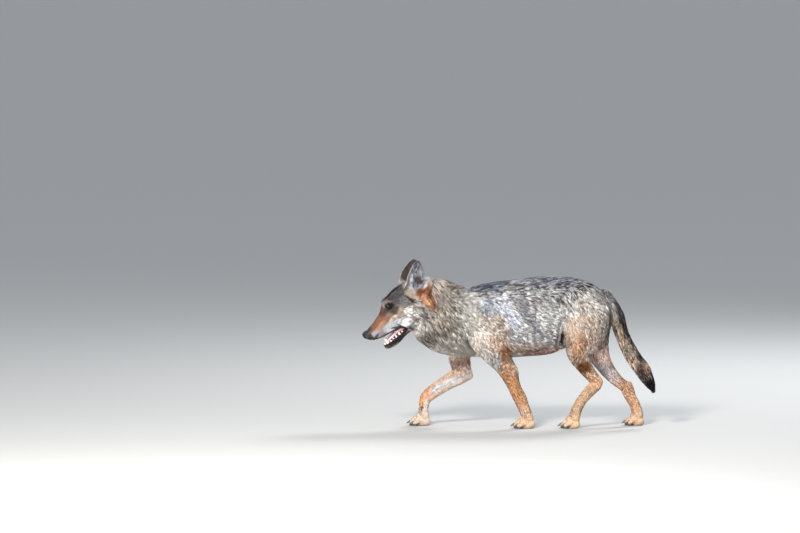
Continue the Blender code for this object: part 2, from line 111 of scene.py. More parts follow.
bm = bmesh.new()
bmesh.ops.create_grid(bm, x_segments=1, y_segments=1, size=FLOOR_SIZE / 2)
floor = object_from("floor", bm)
floor_pale, _nodes, _links, shader = new_material("floor_pale", 0.9)
shader.inputs["Base Color"].default_value = (0.31, 0.305, 0.295, 1)
floor.data.materials.append(floor_pale)


def soft_lamp(name, place, size, watts, colour):
    data = bpy.data.lights.new(name, "AREA")
    data.shape = "DISK"
    data.size = size
    data.energy = watts
    data.color = colour
    lamp = in_scene(name, data)
    lamp.location = place
    lamp.rotation_euler = (LAMPS_AIM_AT - Vector(place)).to_track_quat("-Z", "Y").to_euler()


soft_lamp("key", (-1.9, -4.8, 3.5), 1.2, 585, (1.0, 0.97, 0.92))
soft_lamp("rim", (2.2, 3.2, 3.8), 1.8, 300, (0.93, 0.96, 1.0))
soft_lamp("fill", (-0.8, -4.4, 0.45), 0.9, 190, (1.0, 0.98, 0.94))
sky = bpy.data.worlds.new("sky")
sky.use_nodes = True
sky.node_tree.nodes["Background"].inputs["Color"].default_value = (0.86, 0.92, 1.0, 1)
sky.node_tree.nodes["Background"].inputs["Strength"].default_value = 0.95
bpy.context.scene.world = sky
bpy.context.scene.view_settings.view_transform = "Standard"
print("lamps", len(bpy.data.lights), "floor", FLOOR_SIZE, "m across")

# %% [markdown]
# The head has a frame of its own: its x runs back from the nose, y to the wolf's right and z
# above its axis. Sizes on the head are easiest to read there. The wolf looks down by the pitch
# and a little to its left by the yaw.

# %% The head's frame
HEAD_CENTRE = Vector((-0.4170, 0.0020, 0.504))
HEAD_PITCH = math.radians(38)
HEAD_YAW = math.radians(12)
HEAD_FRAME = (
    Matrix.Translation(HEAD_CENTRE)
    @ Matrix.Rotation(HEAD_YAW, 4, "Z")
    @ Matrix.Rotation(-HEAD_PITCH, 4, "Y")
)
HEAD_TURN = np.array(HEAD_FRAME.to_3x3())
SIDES = ((-1, "left"), (1, "right"))


def to_head(points):
    """World points as (along the muzzle, to the side, above the axis)."""
    local = (points - np.array(HEAD_CENTRE)) @ HEAD_TURN
    local[:, 0] *= -1
    return local


def from_head(along, side, above):
    return HEAD_FRAME @ Vector((-along, side, above))


def folded(points):
    """The points with the left half folded over onto the right."""
    half = points.copy()
    half[:, 1] = np.abs(half[:, 1])
    return half


print("the head tilts", round(math.degrees(HEAD_PITCH)), "degrees down")


# %% [markdown]
# A limb or a muzzle is a loft: rings set square to a path and bridged to each other. Each row of
# a table is one section, with its centre, its half height and its half width. A smooth curve
# runs through the rows, so that few of them are needed.

# %% Lofts
STEPS_PER_ROW = 16  # of the smooth curve between two rows
END_TURNS = (0.32, 0.62, 0.85, 0.98)  # a round end's rings, as shares of a quarter turn


def smooth_through(rows, spacing):
    rows = np.array(rows, float)
    rows = np.vstack([2 * rows[0] - rows[1], rows, 2 * rows[-1] - rows[-2]])
    dense = []
    for a, b, c, d in zip(rows, rows[1:], rows[2:], rows[3:]):
        for t in np.linspace(0, 1, STEPS_PER_ROW, endpoint=False):
            bend = (2 * a - 5 * b + 4 * c - d) + t * (3 * (b - c) + d - a)
            dense.append(b + 0.5 * t * ((c - a) + t * bend))
    dense = np.array(dense + [rows[-2]])
    steps = np.linalg.norm(np.diff(dense[:, :3], axis=0), axis=1)
    distance = np.concatenate([[0], np.cumsum(steps)])
    at = np.linspace(0, distance[-1], max(5, round(distance[-1] / spacing)))
    return np.stack([np.interp(at, distance, column) for column in dense.T], axis=1)


def loft_into(bm, sections, sides=24, spacing=0.006, bluntness=0.6, across=(0, 1, 0)):
    """Adds a closed limb through rows of x, y, z, half height, half width and egg shape."""
    rows = smooth_through(sections, spacing)
    tangents = np.gradient(rows[:, :3], axis=0)
    tangents /= np.linalg.norm(tangents, axis=1)[:, None]
    rings = list(zip(rows, tangents))
    for end, outward in ((0, -tangents[0]), (-1, tangents[-1])):
        depth = bluntness * min(rows[end, 3], rows[end, 4])
        for turn in END_TURNS:
            row = rows[end].copy()
            row[:3] += outward * depth * math.sin(turn * math.pi / 2)
            row[3:5] *= max(0.12, math.cos(turn * math.pi / 2))
            rings.insert(len(rings) if end else 0, (row, tangents[end]))
    previous = None
    across = Vector(across)
    for row, tangent in rings:
        tangent = Vector(tangent)
        side = (across - tangent * across.dot(tangent)).normalized()
        up = side.cross(tangent)
        circle = bmesh.ops.create_circle(bm, segments=sides, radius=1)["verts"]
        for vert in circle:
            right, above = vert.co.x, vert.co.y
            wide = row[4] * (1 + row[5] * above * (1 if up.z > 0 else -1))
            vert.co = Vector(row[:3]) + side * right * wide + up * above * row[3]
        edges = list(dict.fromkeys(e for v in circle for e in v.link_edges))
        if previous:
            bmesh.ops.bridge_loops(bm, edges=previous + edges)
        previous = edges
    bmesh.ops.holes_fill(bm, edges=[e for e in bm.edges if e.is_boundary], sides=0)


def loft(name, sections, **how):
    bm = bmesh.new()
    loft_into(bm, [(*row, 0.0)[:6] for row in sections], **how)
    bmesh.ops.recalc_face_normals(bm, faces=bm.faces)
    return object_from(name, bm)


def ellipsoid(name, centre, radii, pitch=0.0, rings=16):
    bm = bmesh.new()
    bmesh.ops.create_uvsphere(bm, u_segments=2 * rings, v_segments=rings, radius=1)
    turn = Matrix.Rotation(math.radians(pitch), 4, "Y")
    bm.transform(Matrix.Translation(centre) @ turn @ Matrix.Diagonal((*radii, 1)))
    return object_from(name, bm)


def in_head(obj):
    obj.data.transform(HEAD_FRAME)
    return obj


def apply_modifiers(obj):
    graph = bpy.context.evaluated_depsgraph_get()
    mesh = bpy.data.meshes.new_from_object(obj.evaluated_get(graph))
    obj.modifiers.clear()
    obj.data = mesh
    return obj


# %% [markdown]
# The head's sections give its forehead, stop and muzzle from the front to the back, and the
# jaw's the same below the open mouth. Rows are along the muzzle, top, bottom, half width and egg
# shape. The rim of the open mouth runs from under the nose back along the upper jaw, round the
# corner and forward along the lower jaw. The neck's first sections carry the head into the
# frame's neck.

# %% Head and jaw sections
def head_row(along, top, bottom, wide, egg=0.0):
    return (-along, 0.0, (top + bottom) / 2, (top - bottom) / 2, wide, egg)


SKULL = [
    head_row(-0.095, 0.078, -0.060, 0.052),
    head_row(-0.055, 0.097, -0.080, 0.070),
    head_row(-0.010, 0.104, -0.084, 0.075),
    head_row(0.030, 0.106, -0.080, 0.070, 0.05),
    head_row(0.068, 0.098, -0.062, 0.057, 0.20),
    head_row(0.094, 0.079, -0.044, 0.045, 0.15),
    head_row(0.116, 0.063, -0.031, 0.039),
    head_row(0.156, 0.049, -0.024, 0.034, -0.1),
    head_row(0.188, 0.044, -0.016, 0.031, -0.1),
    head_row(0.210, 0.041, -0.004, 0.026),
    head_row(0.222, 0.037, 0.010, 0.019),
]
JAW = [
    head_row(0.000, -0.030, -0.084, 0.052),
    head_row(0.045, -0.042, -0.084, 0.044),
    head_row(0.090, -0.054, -0.082, 0.034),
    head_row(0.130, -0.056, -0.089, 0.027),
    head_row(0.165, -0.055, -0.085, 0.022),
    head_row(0.182, -0.057, -0.077, 0.016),
]
# along, to the side, above, half height and half width of the lip
UPPER_LIP = [
    (0.2130, 0.0090, -0.0010, 0.0024, 0.0024),
    (0.2050, 0.0185, -0.0060, 0.0026, 0.0024),
    (0.1880, 0.0262, -0.0125, 0.0028, 0.0024),
    (0.1650, 0.0300, -0.0190, 0.0030, 0.0026),
    (0.1400, 0.0325, -0.0230, 0.0032, 0.0028),
    (0.1150, 0.0360, -0.0275, 0.0036, 0.0030),
    (0.0930, 0.0405, -0.0330, 0.0044, 0.0036),
]
LIP_CORNER = [(0.0760, 0.0420, -0.0420, 0.0062, 0.0048), (0.0740, 0.0405, -0.0530, 0.0068, 0.0048)]
LOWER_LIP = [
    (0.0880, 0.0350, -0.0610, 0.0062, 0.0042),
    (0.1080, 0.0302, -0.0625, 0.0056, 0.0038),
    (0.1300, 0.0252, -0.0635, 0.0060, 0.0036),
    (0.1500, 0.0217, -0.0635, 0.0054, 0.0034),
    (0.1660, 0.0182, -0.0625, 0.0054, 0.0032),
    (0.1780, 0.0122, -0.0615, 0.0048, 0.0032),
    (0.1840, 0.0040, -0.0610, 0.0044, 0.0032),
]
NECK_FRONT = [
    (-0.386, 0.002, 0.520, 0.105, 0.074, 0.0),
    (-0.341, 0.002, 0.512, 0.129, 0.088, 0.0),
    (-0.286, 0.002, 0.470, 0.149, 0.093, 0.05),
]
print("sections: skull", len(SKULL), "jaw", len(JAW), "lips", len(UPPER_LIP) + len(LOWER_LIP))

# %% [markdown]
# An ear is a leaf that is curled round an opening, tightly at its base and hardly at its tip. It
# has a frame of its own, with x across the leaf and z up it.

# %% Ears
EAR_BASE = (0.0375, 0.028, 0.046)
EAR_TURN, EAR_LEAN = math.radians(14), math.radians(9)
EAR_HEIGHT, EAR_HALF_WIDTH, EAR_WALL = 0.142, 0.041, 0.008
EAR_CURL, EAR_UNCURL = 100, 62  # degrees at the base, and how many fewer at the tip
EAR_FULLNESS = (1.24, 1.12)  # how much wider the front and the rear half of the ear are
EAR_ROOTED = 0.30  # the share of its height over which the ear's edges leave the head


def ear_frame(side):
    """The ear's own frame: x across it, y out of the head and z from its base to its tip."""
    turn = Matrix.Rotation(HEAD_YAW - side * EAR_TURN, 4, "Z")
    lean = Matrix.Rotation(EAR_LEAN, 4, "Y")
    base = HEAD_FRAME @ Vector((EAR_BASE[0], side * EAR_BASE[1], EAR_BASE[2]))
    return Matrix.Translation(base) @ turn @ lean


def ear_leaf(side):
    """The ear in the world: a curled leaf whose opening faces outwards."""
    bm = bmesh.new()
    bmesh.ops.create_grid(bm, x_segments=24, y_segments=24, size=1)
    for vert in bm.verts:
        across, up = vert.co.x, (vert.co.y + 1) / 2
        half_width = EAR_HALF_WIDTH * (1 - min(up, 0.97) ** 2.4) ** 0.70
        curl = math.radians(EAR_CURL - EAR_UNCURL * up)
        radius = half_width / math.sin(min(curl, math.pi / 2))
        rooted = min(up / EAR_ROOTED, 1)
        flare = 0.30 + 0.70 * rooted * rooted * (3 - 2 * rooted)
        outward = flare * radius * (1 - math.cos(across * curl)) + 0.012 * up
        fuller = EAR_FULLNESS[across > 0]
        sideways = fuller * radius * math.sin(across * curl)
        vert.co = Vector((sideways, side * outward, EAR_HEIGHT * up))
    leaf = object_from("ear", bm)
    thicken = leaf.modifiers.new("wall", "SOLIDIFY")
    thicken.thickness = EAR_WALL
    thicken.offset = 0
    apply_modifiers(leaf)
    leaf.data.transform(ear_frame(side))
    return leaf


# %% [markdown]
# A wolf's paw is four long toes round a heel pad, the middle two ahead of the outer two. The
# frame's paws are too coarse for the finished skin, so they are lofted again here at the places
# that the frame's nodes give. A pastern joins each to its leg.

# %% Paws
PASTERNS = {
    "front_left": [(0.052, -0.071, 0.106, 0.026, 0.025), (0.069, -0.069, 0.068, 0.024, 0.026),
                   (0.078, -0.068, 0.040, 0.025, 0.029)],
    "front_right": [(-0.353, 0.066, 0.112, 0.024, 0.023), (-0.360, 0.065, 0.068, 0.021, 0.025),
                    (-0.358, 0.065, 0.036, 0.024, 0.029)],
    "hind_left": [(0.299, -0.063, 0.110, 0.023, 0.022), (0.282, -0.063, 0.078, 0.023, 0.025),
                  (0.273, -0.063, 0.042, 0.024, 0.028)],
    "hind_right": [(0.527, 0.071, 0.098, 0.024, 0.022), (0.531, 0.071, 0.086, 0.023, 0.023),
                   (0.546, 0.071, 0.042, 0.024, 0.028)],
}  # fmt: skip
PAW_SIZES = {"front": (0.094, 0.076), "hind": (0.086, 0.068)}
TOE_SLOTS = (-1.5, -0.5, 0.5, 1.5)
PAWS = {}
for which in ("front_left", "front_right", "hind_left", "hind_right"):
    low, high = (Vector(corner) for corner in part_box("paw_" + which))
    length, width = PAW_SIZES[which.split("_")[0]]
    PAWS[which] = (low.x + 0.49 * length, (low.y + high.y) / 2, length, width)
    print("paw", which, "at", round(PAWS[which][0], 4), round(PAWS[which][1], 4))


def toe_line(paw, slot):
    """A toe's y, and the x of its root and of its tip, and its radius."""
    x, y, length, width = paw
    outer = abs(slot) > 1
    tip = x - length * (0.36 if outer else 0.50)
    return y + slot * width * 0.245, tip + length * 0.44, tip, width * (0.135 if outer else 0.150)


def paw_shapes(paw):
    x, y, length, width = paw
    shapes = [
        ellipsoid("palm", (x + 0.16 * length, y, 0.017), (0.35 * length, 0.41 * width, 0.024)),
        ellipsoid("instep", (x + 0.06 * length, y, 0.032), (0.30 * length, 0.38 * width, 0.024), 28),
    ]
    for slot in TOE_SLOTS:
        toe_y, root, tip, radius = toe_line(paw, slot)
        knuckle = (root * 0.6 + tip * 0.4, toe_y, 0.023, radius * 1.25, radius * 0.98, 0.0)
        rows = [
            (root, 0.85 * toe_y + 0.15 * y, 0.026, radius * 1.2, radius * 0.95, 0.0),
            knuckle,
            (tip + radius, toe_y, 0.012, radius * 1.05, radius * 0.90, 0.0),
        ]
        shapes.append(loft("toe", rows, sides=18, spacing=0.004, bluntness=0.9))
    return shapes


# %% [markdown]
# The skin starts as one closed form: copies of the frame's body pieces, with the finer head and
# paws, wrapped by a voxel Remesh whose grain closes the thin cuts between the pieces. A few
# rounds of smoothing take the facets away.

# %% One form round all the flesh
SKIN_GRAIN = 0.0023
SOFTENING = 14  # rounds of smoothing
FLESH = [
    "trunk", "neck", "tail",
    "shoulder_left", "shoulder_right", "thigh_left", "thigh_right",
    "foreleg_left", "foreleg_right", "hindleg_left", "hindleg_right",
    "shank_left", "shank_right",
]  # fmt: skip
REMADE = ["head", "jaw", "ear_left", "ear_right"] + ["paw_" + which for which in PAWS]
# the tail is drawn once more, because the frame's is parted from the hind leg by a cut
TAIL_FORM = [
    (0.421, 0.002, 0.526, 0.030, 0.032), (0.441, 0.002, 0.482, 0.028, 0.028),
    (0.458, 0.002, 0.432, 0.029, 0.028), (0.477, 0.002, 0.382, 0.031, 0.030),
    (0.500, 0.002, 0.332, 0.033, 0.032), (0.526, 0.002, 0.287, 0.034, 0.033),
    (0.555, 0.002, 0.244, 0.032, 0.031), (0.580, 0.002, 0.205, 0.028, 0.027),
    (0.598, 0.002, 0.172, 0.020, 0.019), (0.605, 0.002, 0.152, 0.010, 0.010),
]  # fmt: skip


def body_form():
    shapes = [
        in_head(loft("skull", SKULL, sides=48)),
        in_head(loft("jaw", JAW, sides=32, bluntness=0.8)),
        loft("neck_front", NECK_FRONT, sides=40, spacing=0.01, bluntness=0.3),
        loft("tail_form", TAIL_FORM, sides=32, bluntness=0.5),
    ]
    for side, _word in SIDES:
        flew = [
            (-along, side * (across - 0.0045), above + 0.0095, 0.0115, 0.0058)
            for along, across, above, _tall, _wide in UPPER_LIP
        ]
        shapes += [
            in_head(loft("flew", flew, spacing=0.004)),
            in_head(ellipsoid("cheek", (-0.028, side * 0.036, -0.022), (0.058, 0.042, 0.056))),
            in_head(ellipsoid("brow", (-0.062, side * 0.026, 0.078), (0.026, 0.017, 0.019))),
            ear_leaf(side),
        ]
    for which, paw in PAWS.items():
        shapes += paw_shapes(paw)
        shapes.append(loft("pastern", PASTERNS[which], sides=24, bluntness=0.7))
    bm = bmesh.new()
    for node in FLESH:
        bm.from_mesh(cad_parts[node].data)
    bmesh.ops.remove_doubles(bm, verts=bm.verts, dist=1e-6)
    for shape in shapes:
        bm.from_mesh(shape.data)
        bpy.data.objects.remove(shape)
    form = object_from("skin", bm)
    remesh = form.modifiers.new("wrap", "REMESH")
    remesh.mode = "VOXEL"
    remesh.voxel_size = SKIN_GRAIN
    soften = form.modifiers.new("soften", "SMOOTH")
    soften.factor = 0.5
    soften.iterations = SOFTENING
    return apply_modifiers(form)


def points_of(mesh):
    points = np.empty(len(mesh.vertices) * 3, np.float32)
    mesh.vertices.foreach_get("co", points)
    return points.reshape(-1, 3).astype(float)


def normals_of(mesh):
    normals = np.empty(len(mesh.vertices) * 3, np.float32)
    mesh.vertices.foreach_get("normal", normals)
    return normals.reshape(-1, 3).astype(float)


def move_points(mesh, points):
    mesh.vertices.foreach_set("co", points.astype(np.float32).ravel())
    mesh.update()


skin = body_form()
print("skin form", len(skin.data.vertices), "points")

# %% [markdown]
# The frame is the outline of the coat, so the skin goes inwards by as much as the coat is deep
# there: over two centimetres in the neck's ruff, a few millimetres on the legs, one on the
# muzzle. One table says how the coat grows in each region: a line along the body in the
# direction in which the hair lies, its reach, the hair's length, how deep the coat stands over
# the skin, how wide a lock is and how much it droops. Every place on the body takes a soft mean
# of the regions near it, so nothing changes abruptly.

# %% How the coat grows, region by region
def head_line(*places):
    return [tuple(from_head(*place)) for place in places]


def ear_line(side):
    return [tuple(ear_frame(side) @ Vector((0, side * 0.022, up))) for up in (0.035, 0.142)]


def fringe_line(side):
    """The front edge of the ear, where long pale hairs stand."""
    places = [(-0.040, 0.044, 0.006), (-0.036, 0.030, 0.06), (-0.024, 0.020, 0.105)]
    return [tuple(ear_frame(side) @ Vector((x, side * y, z))) for x, y, z in places]


def both_sides(name, line, *sizes):
    """A region of the left side, and the same one mirrored on the right."""
    return [
        (f"{name}_{word}", [(x, side * y, z) for x, y, z in line], *sizes) for side, word in SIDES
    ]


def both_cheeks(name, places, *sizes):
    """The same, for a line in the head's frame."""
    return [
        (f"{name}_{word}", head_line(*[(a, side * y, z) for a, y, z in places]), *sizes)
        for side, word in SIDES
    ]


# length, depth, lock width and droop where a left and a right limb have the same coat
ARM_COAT = (0.026, 0.008, 0.0028, 0.1)
LEG_COAT = (0.012, 0.0028, 0.0020, 0.0)
THIGH_COAT = (0.034, 0.010, 0.0030, 0.1)
FOLD_COAT = (0.011, 0.006, 0.0024, 0.2)
GASKIN_COAT = (0.016, 0.004, 0.0023, 0.0)
# name, line, reach, length, depth, lock width, droop
COAT_REGIONS = [
    ("back", [(-0.24, 0, 0.55), (-0.10, 0, 0.59), (0.20, 0, 0.63), (0.32, 0, 0.61), (0.42, 0, 0.56)],
     0.060, 0.050, 0.017, 0.0036, 0.05),
    *both_sides("flank", [(-0.08, 0.08, 0.45), (0.10, 0.09, 0.43), (0.26, 0.08, 0.42)],
                0.085, 0.042, 0.012, 0.0032, 0.40),
    ("belly", [(-0.14, 0, 0.31), (0.10, 0, 0.31), (0.26, 0, 0.36)], 0.050, 0.018, 0.005, 0.0024, 0.0),
    ("rump", [(0.34, 0, 0.58), (0.41, 0, 0.50), (0.43, 0, 0.42)], 0.060, 0.038, 0.013, 0.0032, 0.5),
    ("ruff", [(-0.37, 0, 0.56), (-0.30, 0, 0.47), (-0.20, 0, 0.42)], 0.085, 0.064, 0.020, 0.0038, 0.9),
    ("shoulders", [(-0.20, 0, 0.50), (-0.10, 0, 0.46), (-0.02, 0, 0.42)],
     0.090, 0.046, 0.013, 0.0032, 0.5),
    ("throat", [(-0.395, 0, 0.425), (-0.33, 0, 0.37), (-0.26, 0, 0.33), (-0.20, 0, 0.30)],
     0.055, 0.036, 0.013, 0.0034, 0.2),
    ("latch", [(-0.405, 0, 0.450), (-0.360, 0, 0.392)], 0.036, 0.017, 0.009, 0.0028, 0.0),
    ("tail", [(0.42, 0, 0.53), (0.46, 0, 0.43), (0.52, 0, 0.30), (0.58, 0, 0.19)],
     0.045, 0.056, 0.013, 0.0034, 0.0),
    ("tail_under", [(0.452, 0, 0.43), (0.485, 0, 0.34), (0.535, 0, 0.24)],
     0.022, 0.052, 0.013, 0.0034, 0.30),
    ("tail_tip", [(0.575, 0, 0.20), (0.605, 0, 0.14)], 0.040, 0.026, 0.010, 0.0030, 0.0),
    ("upper_arm_left", [(-0.13, -0.07, 0.40), (-0.03, -0.078, 0.27)], 0.055, *ARM_COAT),
    ("forearm_left", [(-0.01, -0.078, 0.24), (0.05, -0.073, 0.11), (0.08, -0.07, 0.05)],
     0.032, *LEG_COAT),
    ("upper_arm_right", [(-0.20, 0.06, 0.38), (-0.205, 0.073, 0.25)], 0.050, *ARM_COAT),
    ("forearm_right", [(-0.16, 0.072, 0.208), (-0.24, 0.07, 0.192), (-0.343, 0.064, 0.123),
                       (-0.359, 0.063, 0.05)], 0.032, *LEG_COAT),
    ("thigh_left", [(0.272, -0.07, 0.53), (0.325, -0.075, 0.44), (0.320, -0.075, 0.37),
                    (0.305, -0.075, 0.30)], 0.065, *THIGH_COAT),
    ("fold_left", [(0.226, -0.085, 0.440), (0.212, -0.085, 0.335)], 0.034, *FOLD_COAT),
    ("fold_right", [(0.240, 0.085, 0.440), (0.228, 0.085, 0.335)], 0.034, *FOLD_COAT),
    ("gaskin_left", [(0.30, -0.074, 0.29), (0.37, -0.069, 0.205)], 0.034, *GASKIN_COAT),
    ("shank_left", [(0.378, -0.068, 0.20), (0.30, -0.065, 0.105), (0.275, -0.065, 0.05)],
     0.030, *LEG_COAT),
    ("thigh_right", [(0.300, 0.07, 0.54), (0.360, 0.072, 0.44), (0.370, 0.072, 0.37),
                     (0.385, 0.073, 0.29)], 0.062, *THIGH_COAT),
    ("gaskin_right", [(0.39, 0.073, 0.275), (0.488, 0.069, 0.17)], 0.034, *GASKIN_COAT),
    ("shank_right", [(0.50, 0.069, 0.17), (0.53, 0.069, 0.09), (0.546, 0.069, 0.05)],
     0.030, *LEG_COAT),
    ("crown", head_line((0.10, 0, 0.080), (0.06, 0, 0.100), (-0.05, 0, 0.095)),
     0.032, 0.011, 0.0028, 0.0019, 0.0),
    *both_cheeks("temple", [(0.07, 0.05, 0.05), (-0.01, 0.07, 0.05)],
                 0.030, 0.010, 0.0022, 0.0018, 0.1),
    *both_cheeks("cheek", [(0.06, 0.05, 0.01), (0.0, 0.07, -0.01), (-0.06, 0.07, -0.04)],
                 0.040, 0.024, 0.006, 0.0028, 0.2),
    ("muzzle", head_line((0.215, 0, 0.020), (0.15, 0, 0.015), (0.09, 0, 0.02)),
     0.034, 0.0050, 0.0010, 0.0013, 0.0),
    ("jaw", head_line((0.18, 0, -0.070), (0.10, 0, -0.072), (0.02, 0, -0.075)),
     0.026, 0.008, 0.0016, 0.0016, 0.0),
    *[("ear_" + word, ear_line(side), 0.050, 0.008, 0.0012, 0.0015, 0.0) for side, word in SIDES],
    *[("fringe_" + word, fringe_line(side), 0.013, 0.022, 0.0016, 0.0014, 0.0)
      for side, word in SIDES],
]  # fmt: skip
for which, (x, y, length, width) in PAWS.items():
    line = [(x + 0.4 * length, y, 0.045), (x, y, 0.03), (x - 0.5 * length, y, 0.012)]
    COAT_REGIONS.append(("paw_" + which, line, 0.028, 0.0075, 0.0014, 0.0016, 0.0))
# small regions that have more to say than a wide one beside them
COAT_SWAY = {
    "fold": 8, "latch": 4, "ear": 300, "fringe": 900, "muzzle": 6,
    "jaw": 4, "paw": 4, "crown": 2, "temple": 2,
}  # fmt: skip
SAY_FADES = -2.2
LEAST_SAY = 1e-9


def say(name, gap, reach):
    """How much a region has to say at a distance. An ear's say ends sharply at its root."""
    power = 4 if name.startswith(("ear", "fringe")) else 2
    sway = COAT_SWAY.get(name.split("_")[0], 1)
    return sway * np.exp(SAY_FADES * (gap / reach) ** power) + LEAST_SAY


def nearest_on_line(points, line):
    """Distance to a line of points, and the line's direction at the nearest place."""
    best = np.full(len(points), np.inf)
    direction = np.zeros((len(points), 3))
    for a, b in zip(line, line[1:]):
        a, b = np.array(a), np.array(b)
        step = b - a
        share = np.clip((points - a) @ step / (step @ step), 0, 1)
        gap = np.linalg.norm(points - a - share[:, None] * step, axis=1)
        nearer = gap < best
        best[nearer] = gap[nearer]
        direction[nearer] = step / np.linalg.norm(step)
    return best, direction


def coat_at(points):
    """Direction, length, depth and lock width of the coat at each point."""
    total = np.full(len(points), LEAST_SAY)
    direction = np.zeros((len(points), 3))
    sizes = np.zeros((len(points), 3))
    for name, line, reach, length, depth, width, droop in COAT_REGIONS:
        gap, along = nearest_on_line(points, line)
        weight = say(name, gap, reach)
        total += weight
        direction += weight[:, None] * (along + np.array((0, 0, -droop)))
        sizes += weight[:, None] * np.array((length, depth, width))
    direction /= np.linalg.norm(direction, axis=1)[:, None]
    length, depth, width = (sizes / total[:, None]).T
    return direction, length, depth, width


SKIN_UNDER_COAT = 0.9  # the share of the coat's depth by which the skin goes inwards
outline_points = points_of(skin.data)
depth_here = coat_at(outline_points)[2]
sunk = normals_of(skin.data) * depth_here[:, None] * SKIN_UNDER_COAT
move_points(skin.data, outline_points - sunk)
print("coat depth", depth_here.min().round(4), "to", depth_here.max().round(4), "m")

# %% [markdown]
# Under the coat the body has bones and muscles that break its roundness: the brow over each
# eye's socket, the cheekbone, the pads that carry the whiskers, the elbow, the wrist and the
# tendon above the hock. A sculptor adds and takes away clay in soft thumb-sized strokes, and
# this table does the same: each row is a place, a reach in three directions, and how far the
# skin swells there, or sinks where the number is negative.

# %% Swells and hollows
HEAD_CLAY = [
    ("eye socket", (0.0765, 0.040, 0.069), (0.017, 0.016, 0.013), -0.0065),
    ("brow ridge", (0.067, 0.034, 0.086), (0.019, 0.012, 0.008), 0.0040),
    ("stop", (0.100, 0.000, 0.078), (0.020, 0.010, 0.016), -0.0030),
    ("forehead furrow", (0.045, 0.000, 0.106), (0.040, 0.009, 0.014), -0.0028),
    ("cheekbone", (0.038, 0.066, 0.034), (0.034, 0.014, 0.012), 0.0040),
    ("under the eye", (0.088, 0.046, 0.034), (0.022, 0.014, 0.013), -0.0028),
    ("whisker pad", (0.180, 0.031, 0.004), (0.030, 0.012, 0.014), 0.0026),
    ("muzzle groove", (0.150, 0.036, 0.026), (0.040, 0.010, 0.007), -0.0014),
    ("muzzle bridge", (0.150, 0.016, 0.047), (0.045, 0.010, 0.008), 0.0012),
    ("temple", (0.010, 0.060, 0.076), (0.030, 0.018, 0.018), -0.0040),
    ("lip", (0.140, 0.034, -0.022), (0.050, 0.010, 0.006), 0.0016),
]
BODY_CLAY = [
    ("left flank fold", (0.222, -0.085, 0.410), (0.008, 0.030, 0.030), -0.0100),
    ("left flank fold", (0.216, -0.085, 0.360), (0.008, 0.030, 0.030), -0.0110),
    ("left thigh crease", (0.278, -0.090, 0.520), (0.014, 0.030, 0.045), 0.0050),
    ("left thigh crease", (0.262, -0.090, 0.460), (0.014, 0.030, 0.035), 0.0040),
    ("tail top", (0.470, 0.000, 0.470), (0.032, 0.030, 0.050), 0.0110),
    ("tail end", (0.580, 0.000, 0.262), (0.022, 0.030, 0.034), 0.0080),
    ("right flank fold", (0.235, 0.085, 0.375), (0.008, 0.030, 0.045), -0.0080),
    ("left elbow", (-0.030, -0.085, 0.285), (0.018, 0.020, 0.020), 0.0050),
    ("left wrist", (0.048, -0.080, 0.110), (0.014, 0.020, 0.014), 0.0018),
    ("left forearm back", (0.020, -0.076, 0.245), (0.015, 0.030, 0.066), 0.0100),
    ("left wrist back", (0.062, -0.073, 0.140), (0.014, 0.030, 0.050), 0.0050),
    ("right hock back", (0.522, 0.069, 0.165), (0.016, 0.030, 0.025), 0.0060),
    ("behind left shoulder", (-0.010, -0.105, 0.400), (0.020, 0.030, 0.070), -0.0040),
    ("left shoulder blade", (-0.110, -0.100, 0.500), (0.022, 0.030, 0.060), 0.0030),
    ("right shoulder blade", (-0.150, 0.100, 0.480), (0.022, 0.030, 0.060), 0.0030),
    ("left hock tendon", (0.352, -0.066, 0.236), (0.014, 0.012, 0.012), -0.0030),
    ("right hock tendon", (0.470, 0.068, 0.200), (0.014, 0.012, 0.012), -0.0030),
    ("left knee", (0.272, -0.078, 0.315), (0.016, 0.020, 0.022), 0.0030),
    ("right knee", (0.335, 0.078, 0.330), (0.016, 0.020, 0.022), 0.0030),
    ("right elbow", (-0.156, 0.073, 0.208), (0.016, 0.030, 0.018), -0.0050),
    ("right elbow crook", (-0.166, 0.073, 0.246), (0.016, 0.030, 0.020), 0.0060),
]
for teat_x in (0.045, 0.100, 0.150):
    for teat_y in (-0.034, 0.034):
        BODY_CLAY.append(("teat", (teat_x, teat_y, 0.300), (0.009, 0.009, 0.020), 0.0080))
SKIN_OFF_FLOOR = 0.0015


def sculpt(mesh):
    points, normals = points_of(mesh), normals_of(mesh)
    push = np.zeros(len(points))
    for rows, places in ((HEAD_CLAY, folded(to_head(points))), (BODY_CLAY, points)):
        for _name, centre, reach, swell in rows:
            away = (places - np.array(centre)) / np.array(reach)
            push += swell * np.exp(-np.sum(away**2, axis=1))
    points += normals * push[:, None]
    points[:, 2] = np.maximum(points[:, 2], SKIN_OFF_FLOOR)
    move_points(mesh, points)


sculpt(skin.data)
print("strokes of clay", len(HEAD_CLAY) + len(BODY_CLAY))

# %% [markdown]
# An eye sits so deep that the lids cover most of its ball: only an almond of it shows, slanted,
# with its inner corner low and forward. A ray finds where the skin lies at the eye, and the
# ball's centre is set back from there. Then the skin is drawn over the ball as lids, and behind
# the ball inside the almond.

# %% Seat the eyes
from mathutils.bvhtree import BVHTree

EYE_PLACE = (0.0765, 0.0700)  # along the muzzle and above the axis
EYE_RADIUS = 0.0120
EYE_PROUD = 0.0042  # how far the ball stands out of the flat of the face
LID_THICKNESS = 0.0013
LID_REACH = 0.012  # how far from the ball the skin is drawn
BALL_CLEAR = 0.0035  # how far the skin inside the almond lies behind the ball's surface
GAZE = (0.60, 0.79, 0.06)  # forward, to the side and up
ALMOND = (math.radians(55), math.radians(27))  # half its length and height, seen from the centre


